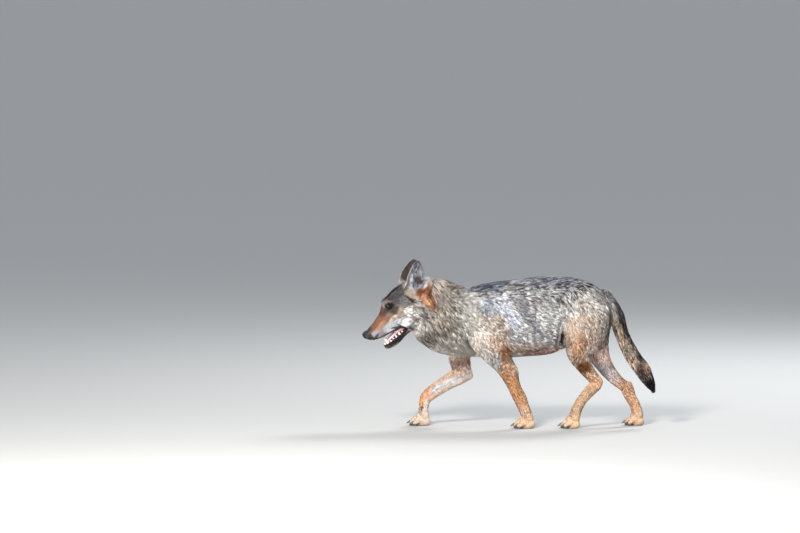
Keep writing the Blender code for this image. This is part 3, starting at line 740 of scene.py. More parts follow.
def surface_search(obj):
    obj.data.calc_loop_triangles()
    corners = np.empty(len(obj.data.loop_triangles) * 3, np.int32)
    obj.data.loop_triangles.foreach_get("vertices", corners)
    return BVHTree.FromPolygons(points_of(obj.data).tolist(), corners.reshape(-1, 3).tolist())


skin_search = surface_search(skin)
BESIDE_THE_HEAD = 0.16  # where a ray towards the skin starts


def skin_beside(along, above, side):
    """The skin seen from the side of the head, as a place and a normal."""
    start = from_head(along, side * BESIDE_THE_HEAD, above)
    inwards = HEAD_FRAME.to_3x3() @ Vector((0, -side, 0))
    place, normal, _face, _distance = skin_search.ray_cast(start, inwards)
    return place, normal


def head_vector(forward, side, up):
    return (HEAD_FRAME.to_3x3() @ Vector((-forward, side, up))).normalized()


def seat_eye(side):
    """The ball's centre, its gaze, the way to the inner corner and the way up."""
    place, _normal = skin_beside(EYE_PLACE[0], EYE_PLACE[1], side)
    gaze = head_vector(GAZE[0], side * GAZE[1], GAZE[2])
    forward = head_vector(1, 0, 0.28)
    inner = (forward - gaze * forward.dot(gaze)).normalized()
    up = (inner.cross(gaze) * -side).normalized()
    return place - gaze * (EYE_RADIUS - EYE_PROUD), gaze, inner, up


def draw_lids(mesh, centre, gaze, inner, up):
    points = points_of(mesh)
    away = points - np.array(centre)
    gap = np.linalg.norm(away, axis=1)
    away /= gap[:, None]
    wide = np.arcsin(np.clip(away @ np.array(inner), -1, 1))
    tall = np.arcsin(np.clip(away @ np.array(up), -1, 1))
    almond = (wide / ALMOND[0]) ** 2 + (tall / ALMOND[1]) ** 2 < 1
    near = (gap < EYE_RADIUS + LID_REACH) & (away @ np.array(gaze) > 0)
    lid = np.maximum(gap, EYE_RADIUS + LID_THICKNESS)
    held = np.where(almond, np.minimum(gap, EYE_RADIUS - BALL_CLEAR), lid)
    held = np.where(near, held, gap)
    move_points(mesh, np.array(centre) + away * held[:, None])


EYE_SEATS = [seat_eye(side) for side, _word in SIDES]
for seat in EYE_SEATS:
    draw_lids(skin.data, *seat)
print("eyes at", [tuple(round(v, 4) for v in seat[0]) for seat in EYE_SEATS])

# %% [markdown]
# Skin and coat carry the same markings. They are painted the way a taxidermist's touch-up is: a
# ground colour first, and then one soft patch after another, each with a place, a reach, a turn
# and a strength. A slow noise wanders the patches' edges, so that no edge is a clean line.
# Colours are linear red, green and blue.

# %% Noise and patches
LATTICE_SIDE = 32
LATTICE = np.random.default_rng(11).random((LATTICE_SIDE, LATTICE_SIDE, LATTICE_SIDE))
PATCH_REACH, PATCH_EDGE = 1.35, 0.7  # where a patch ends, and over how much it fades


def wander(points, size, shift=0.0):
    """Smooth random numbers from -1 to 1 that change over about the given size."""
    places = points / size + shift
    cell = np.floor(places).astype(int)
    share = places - cell
    share = share * share * (3 - 2 * share)
    total = np.zeros(len(points))
    for corner in np.ndindex(2, 2, 2):
        at = (cell + corner) % LATTICE_SIDE
        weight = np.prod(np.where(corner, share, 1 - share), axis=1)
        total += weight * LATTICE[at[:, 0], at[:, 1], at[:, 2]]
    return 2 * total - 1


def paint(colours, points, patches, ragged):
    """Lays soft patches over the colours: name, centre, reach, turn, colour, strength."""
    for _name, centre, reach, turn, colour, strength in patches:
        away = points - np.array(centre)
        c, s = math.cos(math.radians(turn)), math.sin(math.radians(turn))
        x, z = away[:, 0] * c + away[:, 2] * s, away[:, 2] * c - away[:, 0] * s
        away = np.stack([x, away[:, 1], z], axis=1) / np.array(reach)
        inside = PATCH_REACH - np.linalg.norm(away, axis=1) + ragged
        edge = np.clip(inside, 0, PATCH_EDGE) / PATCH_EDGE
        share = strength * edge * edge * (3 - 2 * edge)
        colours += share[:, None] * (np.array(colour) - colours)
    return colours


# %% [markdown]
# The body is grey over cream. A dark saddle lies along the back, a pale cape hangs behind each
# shoulder, the belly and legs are tan, and the tail has a black line and a black tip. The
# left-right pairs are painted once, on the distance from the middle plane.

# %% Markings of the body
GREY, SOOT = (0.40, 0.385, 0.375), (0.035, 0.032, 0.036)
DARKEST, PALEST = 0.004, 0.95
BODY_PATCHES = [
    ("flank", (0.12, 0.10, 0.47), (0.26, 0.10, 0.12), 0, (0.74, 0.735, 0.745), 0.88),
    ("high flank", (0.11, 0.10, 0.545), (0.16, 0.10, 0.028), 0, (0.33, 0.32, 0.325), 0.70),
    ("low flank", (0.08, 0.10, 0.400), (0.17, 0.10, 0.042), -5, (0.52, 0.52, 0.535), 0.9),
    ("saddle", (0.11, 0.00, 0.635), (0.27, 0.12, 0.058), -3, (0.200, 0.207, 0.24), 0.9),
    ("withers", (-0.118, 0.00, 0.588), (0.095, 0.10, 0.045), -8, (0.058, 0.075, 0.108), 0.9),
    ("rump", (0.34, 0.05, 0.54), (0.085, 0.12, 0.070), 20, (0.54, 0.51, 0.49), 0.9),
    ("shoulder", (-0.11, 0.10, 0.43), (0.060, 0.08, 0.09), 20, (0.80, 0.69, 0.63), 0.85),
    ("shoulder blue", (-0.10, 0.10, 0.53), (0.055, 0.08, 0.045), 20, (0.40, 0.43, 0.50), 0.85),
    ("behind cape", (0.045, 0.10, 0.50), (0.030, 0.08, 0.10), 33, (0.20, 0.205, 0.24), 0.7),
    ("cape", (-0.025, 0.10, 0.505), (0.026, 0.08, 0.115), 33, (0.65, 0.69, 0.79), 0.95),
    ("belly", (0.12, 0.00, 0.330), (0.15, 0.12, 0.038), -6, (0.58, 0.42, 0.375), 0.9),
    ("udder", (0.11, 0.00, 0.315), (0.09, 0.10, 0.026), -8, (0.20, 0.13, 0.11), 0.9),
    ("white elbow", (0.030, 0.09, 0.345), (0.018, 0.05, 0.022), 20, (0.60, 0.48, 0.34), 0.85),
    ("groin", (0.25, 0.00, 0.34), (0.06, 0.08, 0.03), 0, (0.36, 0.27, 0.24), 0.7),
    # the pale cream chest, brightened further as painted light on its shaded underside
    ("breast", (-0.22, 0.00, 0.325), (0.11, 0.12, 0.065), 0, (0.92, 0.80, 0.69), 0.95),
    ("neck top", (-0.30, 0.00, 0.60), (0.10, 0.10, 0.042), 10, (0.285, 0.245, 0.21), 0.8),
    ("neck side", (-0.29, 0.10, 0.47), (0.08, 0.09, 0.09), 0, (0.30, 0.262, 0.225), 0.85),
    # pale cream under the neck, brightened further as painted light on its shaded underside
    ("neck low", (-0.28, 0.08, 0.382), (0.075, 0.08, 0.044), 20, (0.95, 0.84, 0.75), 0.95),
    ("neck rear", (-0.20, 0.10, 0.49), (0.05, 0.09, 0.09), 0, (0.60, 0.58, 0.545), 0.8),
    # painted shadow: dark on the throat under the jaw, where the head shades it
    ("throat", (-0.355, 0.02, 0.385), (0.030, 0.07, 0.028), 30, (0.105, 0.087, 0.072), 0.8),
    ("thigh", (0.315, 0.10, 0.400), (0.085, 0.08, 0.100), 0, (0.49, 0.38, 0.31), 0.85),
    ("thigh glow", (0.255, 0.10, 0.450), (0.030, 0.05, 0.045), 0, (0.60, 0.44, 0.34), 0.6),
    ("thigh rear", (0.390, 0.10, 0.42), (0.028, 0.08, 0.08), 0, (0.24, 0.21, 0.185), 0.8),
    ("rump white", (0.410, 0.03, 0.540), (0.050, 0.05, 0.012), -56, (0.70, 0.70, 0.71), 0.85),
    ("rump line", (0.375, 0.00, 0.575), (0.060, 0.020, 0.020), -30, (0.070, 0.065, 0.070), 0.8),
    # painted shadow: a black line in the fold between the flank and the thigh
    ("flank fold", (0.2195, 0.09, 0.388), (0.0100, 0.05, 0.046), -7, (0.015, 0.012, 0.013), 1.0),
]
# each on one side of the body
LEG_PATCHES = [
    ("left foreleg", (0.030, -0.075, 0.13), (0.080, 0.05, 0.16), 22, (0.67, 0.42, 0.275), 0.9),
    ("right foreleg", (-0.29, 0.070, 0.13), (0.130, 0.05, 0.11), 30, (0.62, 0.40, 0.27), 0.9),
    ("left hind leg", (0.32, -0.07, 0.13), (0.100, 0.06, 0.16), 0, (0.62, 0.39, 0.25), 0.9),
    ("right hind leg", (0.49, 0.07, 0.13), (0.120, 0.06, 0.16), 0, (0.68, 0.45, 0.32), 0.9),
    ("left arm", (-0.06, -0.08, 0.365), (0.045, 0.04, 0.05), 30, (0.56, 0.40, 0.31), 0.85),
    ("left arm tan", (-0.052, -0.10, 0.437), (0.022, 0.05, 0.052), 28, (0.47, 0.33, 0.24), 0.6),
    ("left elbow", (-0.018, -0.09, 0.325), (0.026, 0.04, 0.035), 30, (0.21, 0.082, 0.034), 0.92),
    ("left forearm", (0.012, -0.08, 0.190), (0.05, 0.05, 0.10), 22, (0.47, 0.245, 0.128), 0.95),
    ("left elbow back", (0.032, -0.070, 0.262), (0.011, 0.04, 0.045), 18, (0.78, 0.68, 0.52), 0.9),
    ("left arm inside", (-0.02, -0.045, 0.25), (0.06, 0.016, 0.12), 22, (0.66, 0.55, 0.46), 0.8),
    ("left paw", (0.05, -0.07, 0.02), (0.07, 0.05, 0.035), 0, (0.62, 0.42, 0.28), 0.8),
    ("right arm", (-0.20, 0.07, 0.29), (0.05, 0.06, 0.08), 0, (0.46, 0.325, 0.27), 0.85),
    # painted shade: dark brown-grey inside the far upper arm, behind the elbow
    ("right arm inside", (-0.20, 0.04, 0.275), (0.04, 0.035, 0.025), 0, (0.25, 0.165, 0.145), 0.9),
    ("right forearm", (-0.26, 0.09, 0.18), (0.11, 0.035, 0.05), 30, (0.60, 0.33, 0.185), 0.9),
    ("right forearm in", (-0.245, 0.045, 0.187), (0.088, 0.026, 0.026), 31, (0.53, 0.51, 0.51), 0.95),
    ("right forearm top", (-0.235, 0.05, 0.222), (0.055, 0.03, 0.012), 25, (0.54, 0.38, 0.29), 0.8),
    ("right wrist", (-0.364, 0.063, 0.130), (0.031, 0.05, 0.052), 0, (0.62, 0.30, 0.16), 0.95),
    ("right pastern", (-0.345, 0.06, 0.08), (0.016, 0.04, 0.05), 0, (0.66, 0.60, 0.57), 0.7),
    ("right paw", (-0.38, 0.063, 0.02), (0.06, 0.05, 0.035), 0, (0.66, 0.50, 0.37), 0.8),
    ("left thigh tan", (0.285, -0.09, 0.355), (0.036, 0.05, 0.068), -8, (0.52, 0.30, 0.18), 0.85),
    ("left thigh front", (0.243, -0.08, 0.37), (0.012, 0.05, 0.05), 0, (0.26, 0.19, 0.145), 0.8),
    ("left shin", (0.305, -0.08, 0.275), (0.028, 0.05, 0.032), -40, (0.16, 0.062, 0.020), 1.0),
    ("left hock", (0.365, -0.07, 0.20), (0.035, 0.05, 0.035), 0, (0.80, 0.48, 0.30), 0.9),
    ("left shank", (0.31, -0.07, 0.12), (0.05, 0.05, 0.08), -40, (0.55, 0.375, 0.25), 0.95),
    ("left hind paw", (0.26, -0.065, 0.02), (0.06, 0.05, 0.035), 0, (0.66, 0.46, 0.31), 0.8),
    ("right thigh out", (0.35, 0.10, 0.38), (0.06, 0.04, 0.10), 0, (0.60, 0.40, 0.28), 0.8),
    ("right thigh in", (0.385, 0.04, 0.31), (0.06, 0.035, 0.07), 20, (0.94, 0.62, 0.56), 0.95),
    ("right gaskin in", (0.425, 0.045, 0.228), (0.075, 0.026, 0.038), -35, (0.62, 0.56, 0.58), 0.9),
    ("right gaskin out", (0.42, 0.09, 0.24), (0.07, 0.025, 0.05), -35, (0.55, 0.31, 0.19), 0.8),
    ("right shank", (0.51, 0.07, 0.13), (0.045, 0.05, 0.09), 20, (0.66, 0.40, 0.255), 0.9),
    ("right hock", (0.50, 0.07, 0.175), (0.035, 0.05, 0.030), 0, (0.50, 0.30, 0.20), 0.85),
    ("right hind paw", (0.53, 0.07, 0.02), (0.06, 0.05, 0.035), 0, (0.62, 0.42, 0.29), 0.8),
]
TAIL_PATCHES = [
    ("tail", (0.51, 0.0, 0.33), (0.06, 0.08, 0.22), 26, (0.28, 0.22, 0.175), 0.95),
    ("tail cream", (0.460, 0.0, 0.385), (0.024, 0.05, 0.09), 20, (0.22, 0.165, 0.13), 0.85),
    ("tail low cream", (0.508, 0.0, 0.280), (0.022, 0.05, 0.06), 26, (0.58, 0.42, 0.33), 0.85),
    ("tail middle", (0.49, 0.0, 0.350), (0.014, 0.05, 0.03), 26, (0.20, 0.18, 0.16), 0.6),
    ("tail root", (0.42, 0.0, 0.545), (0.05, 0.06, 0.035), 45, (0.27, 0.26, 0.27), 0.8),
    ("tail line", (0.448, 0.0, 0.520), (0.020, 0.06, 0.06), 28, (0.060, 0.052, 0.055), 0.95),
    ("tail line", (0.474, 0.0, 0.460), (0.018, 0.06, 0.06), 24, (0.040, 0.034, 0.038), 0.98),
    ("tail line", (0.504, 0.0, 0.395), (0.018, 0.06, 0.06), 24, (0.040, 0.034, 0.036), 0.98),
    ("tail line", (0.537, 0.0, 0.333), (0.020, 0.06, 0.05), 27, (0.040, 0.034, 0.036), 0.98),
    ("tail line", (0.580, 0.0, 0.270), (0.016, 0.06, 0.05), 27, (0.030, 0.026, 0.029), 0.98),
    ("tail tan", (0.550, 0.0, 0.276), (0.012, 0.05, 0.026), 26, (0.35, 0.215, 0.155), 0.95),
    ("tail edge", (0.583, 0.0, 0.275), (0.010, 0.06, 0.060), 27, (0.030, 0.026, 0.029), 0.98),
    ("tail tip", (0.588, 0.0, 0.192), (0.048, 0.06, 0.062), 26, (0.010, 0.008, 0.010), 1.0),
    ("tail tip front", (0.534, 0.0, 0.268), (0.013, 0.05, 0.040), 26, (0.045, 0.038, 0.040), 0.9),
]

# %% [markdown]
# The face is the most finely marked: a rust muzzle top that greys towards the nose, pale lips
# and cheeks, a buff spot over a black-rimmed eye, a dark forehead and a white cheek patch. Its
# patches are in the head's frame: along the muzzle, to the side, above the axis. Inside the ear
# are two more.

# %% Markings of the head
HEAD_PATCHES = [
    ("head", (0.07, 0.03, 0.01), (0.15, 0.10, 0.12), 0, (0.27, 0.235, 0.215), 1.0),
    ("forehead", (0.030, 0.03, 0.080), (0.060, 0.06, 0.045), -8, (0.074, 0.069, 0.076), 0.95),
    ("crown line", (0.040, 0.00, 0.104), (0.070, 0.022, 0.018), -8, (0.022, 0.020, 0.022), 0.95),
    ("temple", (0.000, 0.07, 0.055), (0.035, 0.03, 0.022), 0, (0.20, 0.19, 0.195), 0.7),
    ("cheek", (0.010, 0.07, -0.015), (0.050, 0.05, 0.035), 0, (0.33, 0.315, 0.31), 0.85),
    ("cheek white", (0.032, 0.07, 0.007), (0.030, 0.04, 0.017), 38, (0.60, 0.585, 0.57), 1.0),
    ("cheek mottle", (0.051, 0.07, -0.016), (0.009, 0.04, 0.006), 38, (0.20, 0.185, 0.18), 0.7),
    ("cheek mottle", (0.0575, 0.07, 0.028), (0.008, 0.04, 0.005), 38, (0.13, 0.11, 0.10), 0.7),
    ("cheek low white", (0.020, 0.06, -0.022), (0.014, 0.04, 0.012), 0, (0.72, 0.70, 0.68), 0.6),
    ("cheek back", (-0.004, 0.07, -0.048), (0.010, 0.04, 0.022), 20, (0.07, 0.062, 0.060), 0.8),
    ("cheek rear", (-0.018, 0.08, -0.020), (0.008, 0.04, 0.020), 30, (0.10, 0.09, 0.085), 0.6),
    ("under eye", (0.070, 0.05, 0.046), (0.020, 0.03, 0.018), 0, (0.052, 0.042, 0.034), 0.92),
    ("mottle", (0.055, 0.06, 0.030), (0.014, 0.03, 0.008), -20, (0.42, 0.31, 0.22), 0.7),
    ("muzzle", (0.150, 0.00, 0.030), (0.075, 0.05, 0.034), -6, (0.170, 0.080, 0.048), 0.95),
    # painted highlight: paler orange on the lit upper side of the muzzle
    ("muzzle light", (0.150, 0.030, 0.024), (0.026, 0.02, 0.009), -10, (0.40, 0.205, 0.12), 0.8),
    ("stop", (0.104, 0.02, 0.062), (0.022, 0.03, 0.018), -30, (0.085, 0.040, 0.030), 0.9),
    ("muzzle cheek", (0.095, 0.05, 0.018), (0.016, 0.03, 0.006), -10, (0.58, 0.44, 0.32), 0.8),
    ("nose bridge", (0.202, 0.00, 0.040), (0.016, 0.03, 0.014), 0, (0.045, 0.038, 0.038), 0.9),
    ("muzzle side", (0.188, 0.03, 0.006), (0.026, 0.04, 0.016), 0, (0.31, 0.305, 0.345), 0.9),
    ("muzzle front", (0.218, 0.03, 0.012), (0.014, 0.04, 0.024), 0, (0.030, 0.029, 0.033), 0.95),
    ("front lip", (0.200, 0.03, -0.006), (0.024, 0.04, 0.006), -24, (0.03, 0.027, 0.029), 0.9),
    ("lip", (0.112, 0.04, -0.008), (0.052, 0.04, 0.020), 8, (0.43, 0.45, 0.49), 0.95),
    ("lip rear", (0.062, 0.05, -0.022), (0.018, 0.04, 0.014), 0, (0.74, 0.74, 0.75), 0.9),
    ("jaw", (0.100, 0.03, -0.078), (0.10, 0.05, 0.022), 0, (0.34, 0.29, 0.26), 0.9),
    ("jaw rear", (0.038, 0.05, -0.062), (0.034, 0.05, 0.026), 0, (0.60, 0.58, 0.56), 0.9),
    ("jaw side", (0.142, 0.03, -0.071), (0.056, 0.05, 0.011), 4, (0.018, 0.016, 0.018), 0.97),
    ("chin", (0.178, 0.00, -0.068), (0.016, 0.04, 0.012), 0, (0.045, 0.040, 0.042), 0.9),
    ("lip edge", (0.100, 0.045, -0.0265), (0.034, 0.04, 0.0042), 31, (0.012, 0.011, 0.012), 0.9),
    ("lip corner", (0.072, 0.05, -0.050), (0.012, 0.04, 0.014), 10, (0.022, 0.019, 0.021), 0.9),
    ("brow spot", (0.0685, 0.04, 0.0835), (0.018, 0.02, 0.0055), 48, (0.20, 0.146, 0.112), 0.95),
    ("tear line", (0.098, 0.04, 0.058), (0.012, 0.02, 0.006), 30, (0.05, 0.04, 0.038), 0.85),
    # the black rim of the eye, widened with painted shade over the socket under the brow
    ("eye rim", (0.074, 0.04, 0.0665), (0.019, 0.02, 0.0140), 10, (0.004, 0.004, 0.004), 1.0),
    # painted highlight: a blue-white glint at the eye's front corner
    ("tear light", (0.0915, 0.04, 0.0765), (0.0090, 0.02, 0.0048), -52, (0.80, 0.84, 0.95), 1.0),
    # the rufous behind the ear, darkened with painted shade of the ear's base
    ("behind ear", (-0.074, 0.070, 0.020), (0.038, 0.05, 0.034), 0, (0.16, 0.045, 0.010), 0.94),
    ("behind ear low", (-0.060, 0.09, -0.012), (0.022, 0.05, 0.028), 0, (0.58, 0.33, 0.20), 0.8),
    ("ear shadow", (-0.068, 0.065, 0.036), (0.016, 0.04, 0.010), 20, (0.10, 0.030, 0.010), 0.9),
    ("ear root", (-0.026, 0.07, 0.058), (0.021, 0.04, 0.021), 0, (0.27, 0.225, 0.172), 0.95),
    # painted shadow: a black line in the crease at the ear's front root
    ("ear crease", (-0.008, 0.06, 0.041), (0.0055, 0.03, 0.022), -10, (0.015, 0.012, 0.013), 0.97),
]
EAR_REACH = 0.060  # no part of the ear is further from its middle line
EAR_INSIDE, EAR_OUTSIDE = (0.150, 0.155, 0.178), (0.042, 0.031, 0.027)
EAR_FRONT_RIM, EAR_REAR_RIM = (0.50, 0.45, 0.43), (0.44, 0.41, 0.41)
MOUTH_CORNER, MOUTH_FRONT = 0.066, 0.212  # along the muzzle
MOUTH_LINING = (0.10, 0.028, 0.030)
EAR_PATCHES = [
    # painted shade: dark at the ear's opening, where it goes into the head
    ("ear opening", (-0.092, 0.05, 0.076), (0.013, 0.06, 0.021), 0, (0.045, 0.032, 0.028), 0.95),
    ("ear foot", (-0.040, 0.05, 0.099), (0.022, 0.06, 0.013), 38, (0.33, 0.25, 0.18), 0.85),
]

# %% [markdown]
# Inside the rim of the lips nothing grows, and the skin is dark and wet. The rim's two halves
# bound it: the upper lip is its roof, and the lower lip its bed.

# %% Inside the mouth
def in_mouth(points):
    """Which points are inside the rim of the lips."""
    along, side, above = to_head(points).T
    side = np.abs(side)
    upper, lower = np.array(UPPER_LIP[::-1]), np.array(LOWER_LIP)
    roof = np.interp(along, upper[:, 0], upper[:, 2]) + 0.010
    wide = np.interp(along, upper[:, 0], upper[:, 1]) - 0.004
    bed = np.interp(along, lower[:, 0], lower[:, 2]) - 0.002
    between = (above < roof) & (above > bed) & (side < wide)
    between |= (above < roof - 0.012) & (above > bed) & (side < wide + 0.006)
    return between & (along > MOUTH_CORNER) & (along < MOUTH_FRONT)


# %% [markdown]
# The ears are marked by the way the skin faces: mottled grey inside, dark and tawny outside, with
# a pale rim and a dark tip. The distance from the ear's middle line and the share of its height
# say whether a point is on the ear at all.

# %% Markings of the ears
def facing_the_axis(points, normals, side):
    """Each point's reach from the ear's middle line, how far up the ear it is, how far behind
    the line, and how much its skin faces the line."""
    to_world = ear_frame(side)
    root = to_world @ Vector((0, side * 0.041, 0))
    tip = to_world @ Vector((0, side * 0.036, EAR_HEIGHT))
    up_ear = np.array((tip - root).normalized())
    away = points - np.array(root)
    height = away @ up_ear
    towards_axis = -(away - height[:, None] * up_ear)
    reach = np.linalg.norm(towards_axis, axis=1)
    inwards = np.sum(towards_axis * normals, axis=1) / np.maximum(reach, 1e-6)
    return reach, height / EAR_HEIGHT, away[:, 0], inwards


def paint_ear(colours, points, normals, in_frame, ragged, side):
    reach, share_up, behind, inwards = facing_the_axis(points, normals, side)
    inside = inwards > 0.15
    begins = np.where(inside, 0.10, 0.24) + 0.12 * ragged
    on_ear = np.clip((share_up - begins) / 0.12, 0, 1) * (reach < EAR_REACH) * (share_up < 1.2)
    on_ear *= np.clip((0.050 - behind + 0.010 * ragged) / 0.006, 0, 1)
    speckle = 1 + 0.7 * ragged[:, None] + 0.95 * wander(points, 0.0055, 8.0)[:, None]
    colour = np.where(
        inside[:, None],
        np.array(EAR_INSIDE) * 1.12 * speckle,
        np.array(EAR_OUTSIDE) * (1 + 0.8 * ragged[:, None]),
    )
    colour[inside & (behind < -0.014 + 0.010 * ragged)] *= 2.0
    paint(colour, in_frame, EAR_PATCHES, ragged - 2.0 * ~inside)
    rim = np.abs(inwards) < 0.42
    colour[rim & (behind < 0)] = EAR_FRONT_RIM
    colour[rim & (behind >= 0) & (share_up < 0.55)] = EAR_REAR_RIM
    dark = np.clip((share_up - 0.74) / 0.2, 0, 1)[:, None]
    colour += dark * 0.75 * (np.array(SOOT) - colour)
    colours += on_ear[:, None] * (colour - colours)


# %% [markdown]
# All the markings come together in one function of a place and the way the skin faces there. The
# skin asks it for the colour of every point, and each lock for the colour of its root.

# %% All the markings together
def markings(points, normals):
    ragged = 0.30 * wander(points, 0.030) + 0.22 * wander(points, 0.011, 5.0)
    colours = np.tile(np.array(GREY), (len(points), 1))
    paint(colours, folded(points), BODY_PATCHES, ragged)
    paint(colours, points, LEG_PATCHES, ragged)
    paint(colours, points, TAIL_PATCHES, 0.8 * ragged)
    in_frame = folded(to_head(points))
    paint(colours, in_frame, HEAD_PATCHES, 0.7 * ragged)
    for side, _word in SIDES:
        paint_ear(colours, points, normals, in_frame, ragged, side)
    colours[in_mouth(points)] = MOUTH_LINING
    return np.clip(colours, DARKEST, PALEST)


patches = len(BODY_PATCHES) + len(LEG_PATCHES) + len(TAIL_PATCHES) + len(HEAD_PATCHES)
print("patches", patches + len(EAR_PATCHES))

# %% [markdown]
# A coat can be drawn as hair curves, but those vanish when a model leaves Blender. So each lock
# is a tiny solid: three-sided, flat, widest near its root and drawn out to a point. It starts in
# the skin, rises a little, and bends along the body in the direction of the coat. Its way over
# the body is found by stepping along that direction and looking for the nearest skin, so that
# locks hug the curves. Neighbours lean together into clumps, as washed fur does.

# %% The scalp that locks grow from
from mathutils.kdtree import KDTree

scalp = points_of(skin.data)
scalp_normals = normals_of(skin.data)
skin_search = surface_search(skin)


def on_skin(points):
    """The nearest skin and its outward normal at each point."""
    found = [skin_search.find_nearest(Vector(p)) for p in points]
    places = np.array([hit[0] for hit in found])
    return places, np.array([hit[1] for hit in found])


def unit(vectors):
    return vectors / np.maximum(np.linalg.norm(vectors, axis=1), 1e-6)[:, None]


def along_skin(directions, normals):
    return unit(directions - normals * np.sum(directions * normals, axis=1)[:, None])


print("scalp", len(scalp), "points")


# %% [markdown]
# How salt and pepper is the coat? Guard hairs with black tips stand among pale ones on the back,
# neck and flanks; the legs and face are plain. These patches give the share of black-tipped
# locks. Pale locks are then lightened, so that the whole keeps its colour.

# %% Salt and pepper
PEPPER_PATCHES = [
    ("trunk", (0.10, 0.05, 0.45), (0.40, 0.15, 0.22), 0, (0.12, 0, 0), 1.0),
    ("saddle", (0.13, 0.00, 0.62), (0.32, 0.14, 0.085), -3, (0.50, 0, 0), 1.0),
    ("withers", (-0.10, 0.00, 0.59), (0.12, 0.12, 0.06), -8, (0.46, 0, 0), 1.0),
    ("neck", (-0.28, 0.05, 0.48), (0.13, 0.15, 0.16), 0, (0.22, 0, 0), 1.0),
    ("belly", (0.10, 0.00, 0.30), (0.16, 0.12, 0.04), -6, (0.12, 0, 0), 0.9),
    ("thigh", (0.31, 0.10, 0.38), (0.09, 0.08, 0.12), 0, (0.06, 0, 0), 0.95),
    ("tail", (0.52, 0.00, 0.32), (0.08, 0.08, 0.24), 26, (0.28, 0, 0), 1.0),
    ("cheek", (-0.37, 0.08, 0.50), (0.06, 0.05, 0.07), 0, (0.12, 0, 0), 0.8),
    ("low flank", (0.08, 0.10, 0.40), (0.17, 0.10, 0.060), -5, (0.10, 0, 0), 0.9),
    ("shoulder", (-0.10, 0.10, 0.42), (0.07, 0.08, 0.08), 20, (0.08, 0, 0), 0.9),
    ("tail line", (0.53, 0.00, 0.32), (0.03, 0.08, 0.24), 26, (0.10, 0, 0), 0.9),
    ("rump", (0.36, 0.05, 0.54), (0.08, 0.14, 0.070), 0, (0.18, 0, 0), 0.9),
    ("breast", (-0.23, 0.00, 0.33), (0.10, 0.12, 0.060), 0, (0.10, 0, 0), 0.9),
]


LEAST_PEPPER = 0.02


def pepper_at(points):
    share = np.full((len(points), 3), LEAST_PEPPER)
    return paint(share, folded(points), PEPPER_PATCHES, np.zeros(len(points)))[:, 0]


# %% [markdown]
# All the locks of a piece are one mesh. Each takes its own little patch on the piece's UV map, at
# its root's place on an unwrap of the limb it grows on: how far round, and how far along.

# %% One mesh of many locks
PATCH = 0.003  # the side of a lock's patch
MARGIN = 0.01  # round the whole map


def unwrap(points, line):
    """(around, along) from 0 to 1 for points round a line."""
    line = np.array(line, float)
    lengths = np.linalg.norm(np.diff(line, axis=0), axis=1)
    starts = np.concatenate([[0], np.cumsum(lengths)])
    best = np.full(len(points), np.inf)
    along, around = np.zeros((2, len(points)))
    for a, b, start, length in zip(line, line[1:], starts, lengths):
        step = (b - a) / length
        side = np.cross(step, (0, 1, 0)) if abs(step[1]) < 0.9 else np.cross(step, (0, 0, 1))
        side /= np.linalg.norm(side)
        other = np.cross(step, side)
        away = points - a
        run = away @ step
        gap = np.linalg.norm(away - np.clip(run, 0, length)[:, None] * step, axis=1)
        nearer = gap < best
        best[nearer] = gap[nearer]
        along[nearer] = (start + run)[nearer]
        around[nearer] = np.arctan2(away @ other, away @ side)[nearer]
    along = (along - along.min()) / max(np.ptp(along), 1e-6)
    places = np.stack([(around + math.pi) / (2 * math.pi), along], axis=1)
    return MARGIN + (1 - 2 * MARGIN) * places


def store_tint(mesh, tints):
    tint = mesh.color_attributes.new("tint", "FLOAT_COLOR", "POINT")
    rgba = np.ones((len(tints), 4), np.float32)
    rgba[:, :3] = tints
    tint.data.foreach_set("color", rgba.ravel())


def mesh_from_locks(name, rings, tips, colours, root_uv):
    """One joined mesh of closed three-sided locks. Rings is locks x rings x 3 corners x 3."""
    count, levels = rings.shape[:2]
    corners = 3 * levels + 1
    points = np.concatenate([rings.reshape(count, -1, 3), tips[:, None]], axis=1)
    faces = [(0, 2, 1)]
    for level in range(levels - 1):
        for corner in range(3):
            a, b = 3 * level + corner, 3 * level + (corner + 1) % 3
            faces += [(a, b, b + 3), (a, b + 3, a + 3)]
    last = 3 * (levels - 1)
    faces += [(last + corner, last + (corner + 1) % 3, 3 * levels) for corner in range(3)]
    faces = np.array(faces)
    loops = (faces.reshape(1, -1) + corners * np.arange(count)[:, None]).ravel()
    mesh = bpy.data.meshes.new(name)
    mesh.vertices.add(count * corners)
    mesh.vertices.foreach_set("co", points.astype(np.float32).ravel())
    mesh.loops.add(len(loops))
    mesh.loops.foreach_set("vertex_index", loops.astype(np.int32))
    mesh.polygons.add(len(loops) // 3)
    mesh.polygons.foreach_set("loop_start", np.arange(0, len(loops), 3, dtype=np.int32))
    mesh.update(calc_edges=True)
    mesh.polygons.foreach_set("use_smooth", [True] * len(mesh.polygons))
    level_share = np.concatenate([np.repeat(np.arange(levels) / levels, 3), [1.0]])
    across = np.concatenate([np.tile((-0.5, 0.5, 0.0), levels), [0.0]])
    uv = root_uv[:, None] + PATCH * np.stack([across, level_share - 0.5], axis=1)[None]
    layer = mesh.uv_layers.new(name="OFBake")
    layer.uv.foreach_set("vector", uv.reshape(-1, 2)[loops].astype(np.float32).ravel())
    store_tint(mesh, colours.reshape(-1, 3))
    return in_scene(name, mesh)


# %% [markdown]
# Roots are drawn at random over a piece's scalp, closer together where locks are narrow. Each
# lock then turns a little from the lie of the coat, together with its neighbours and on its own.

# %% Roots of the locks
SPREAD_POWER = -1.6  # how strongly narrow locks crowd together
ROOT_STRAY = 0.0012  # how far a root may lie from its scalp point
LENGTH_RANGE, WIDTH_RANGE = (0.70, 1.20), (0.7, 1.25)


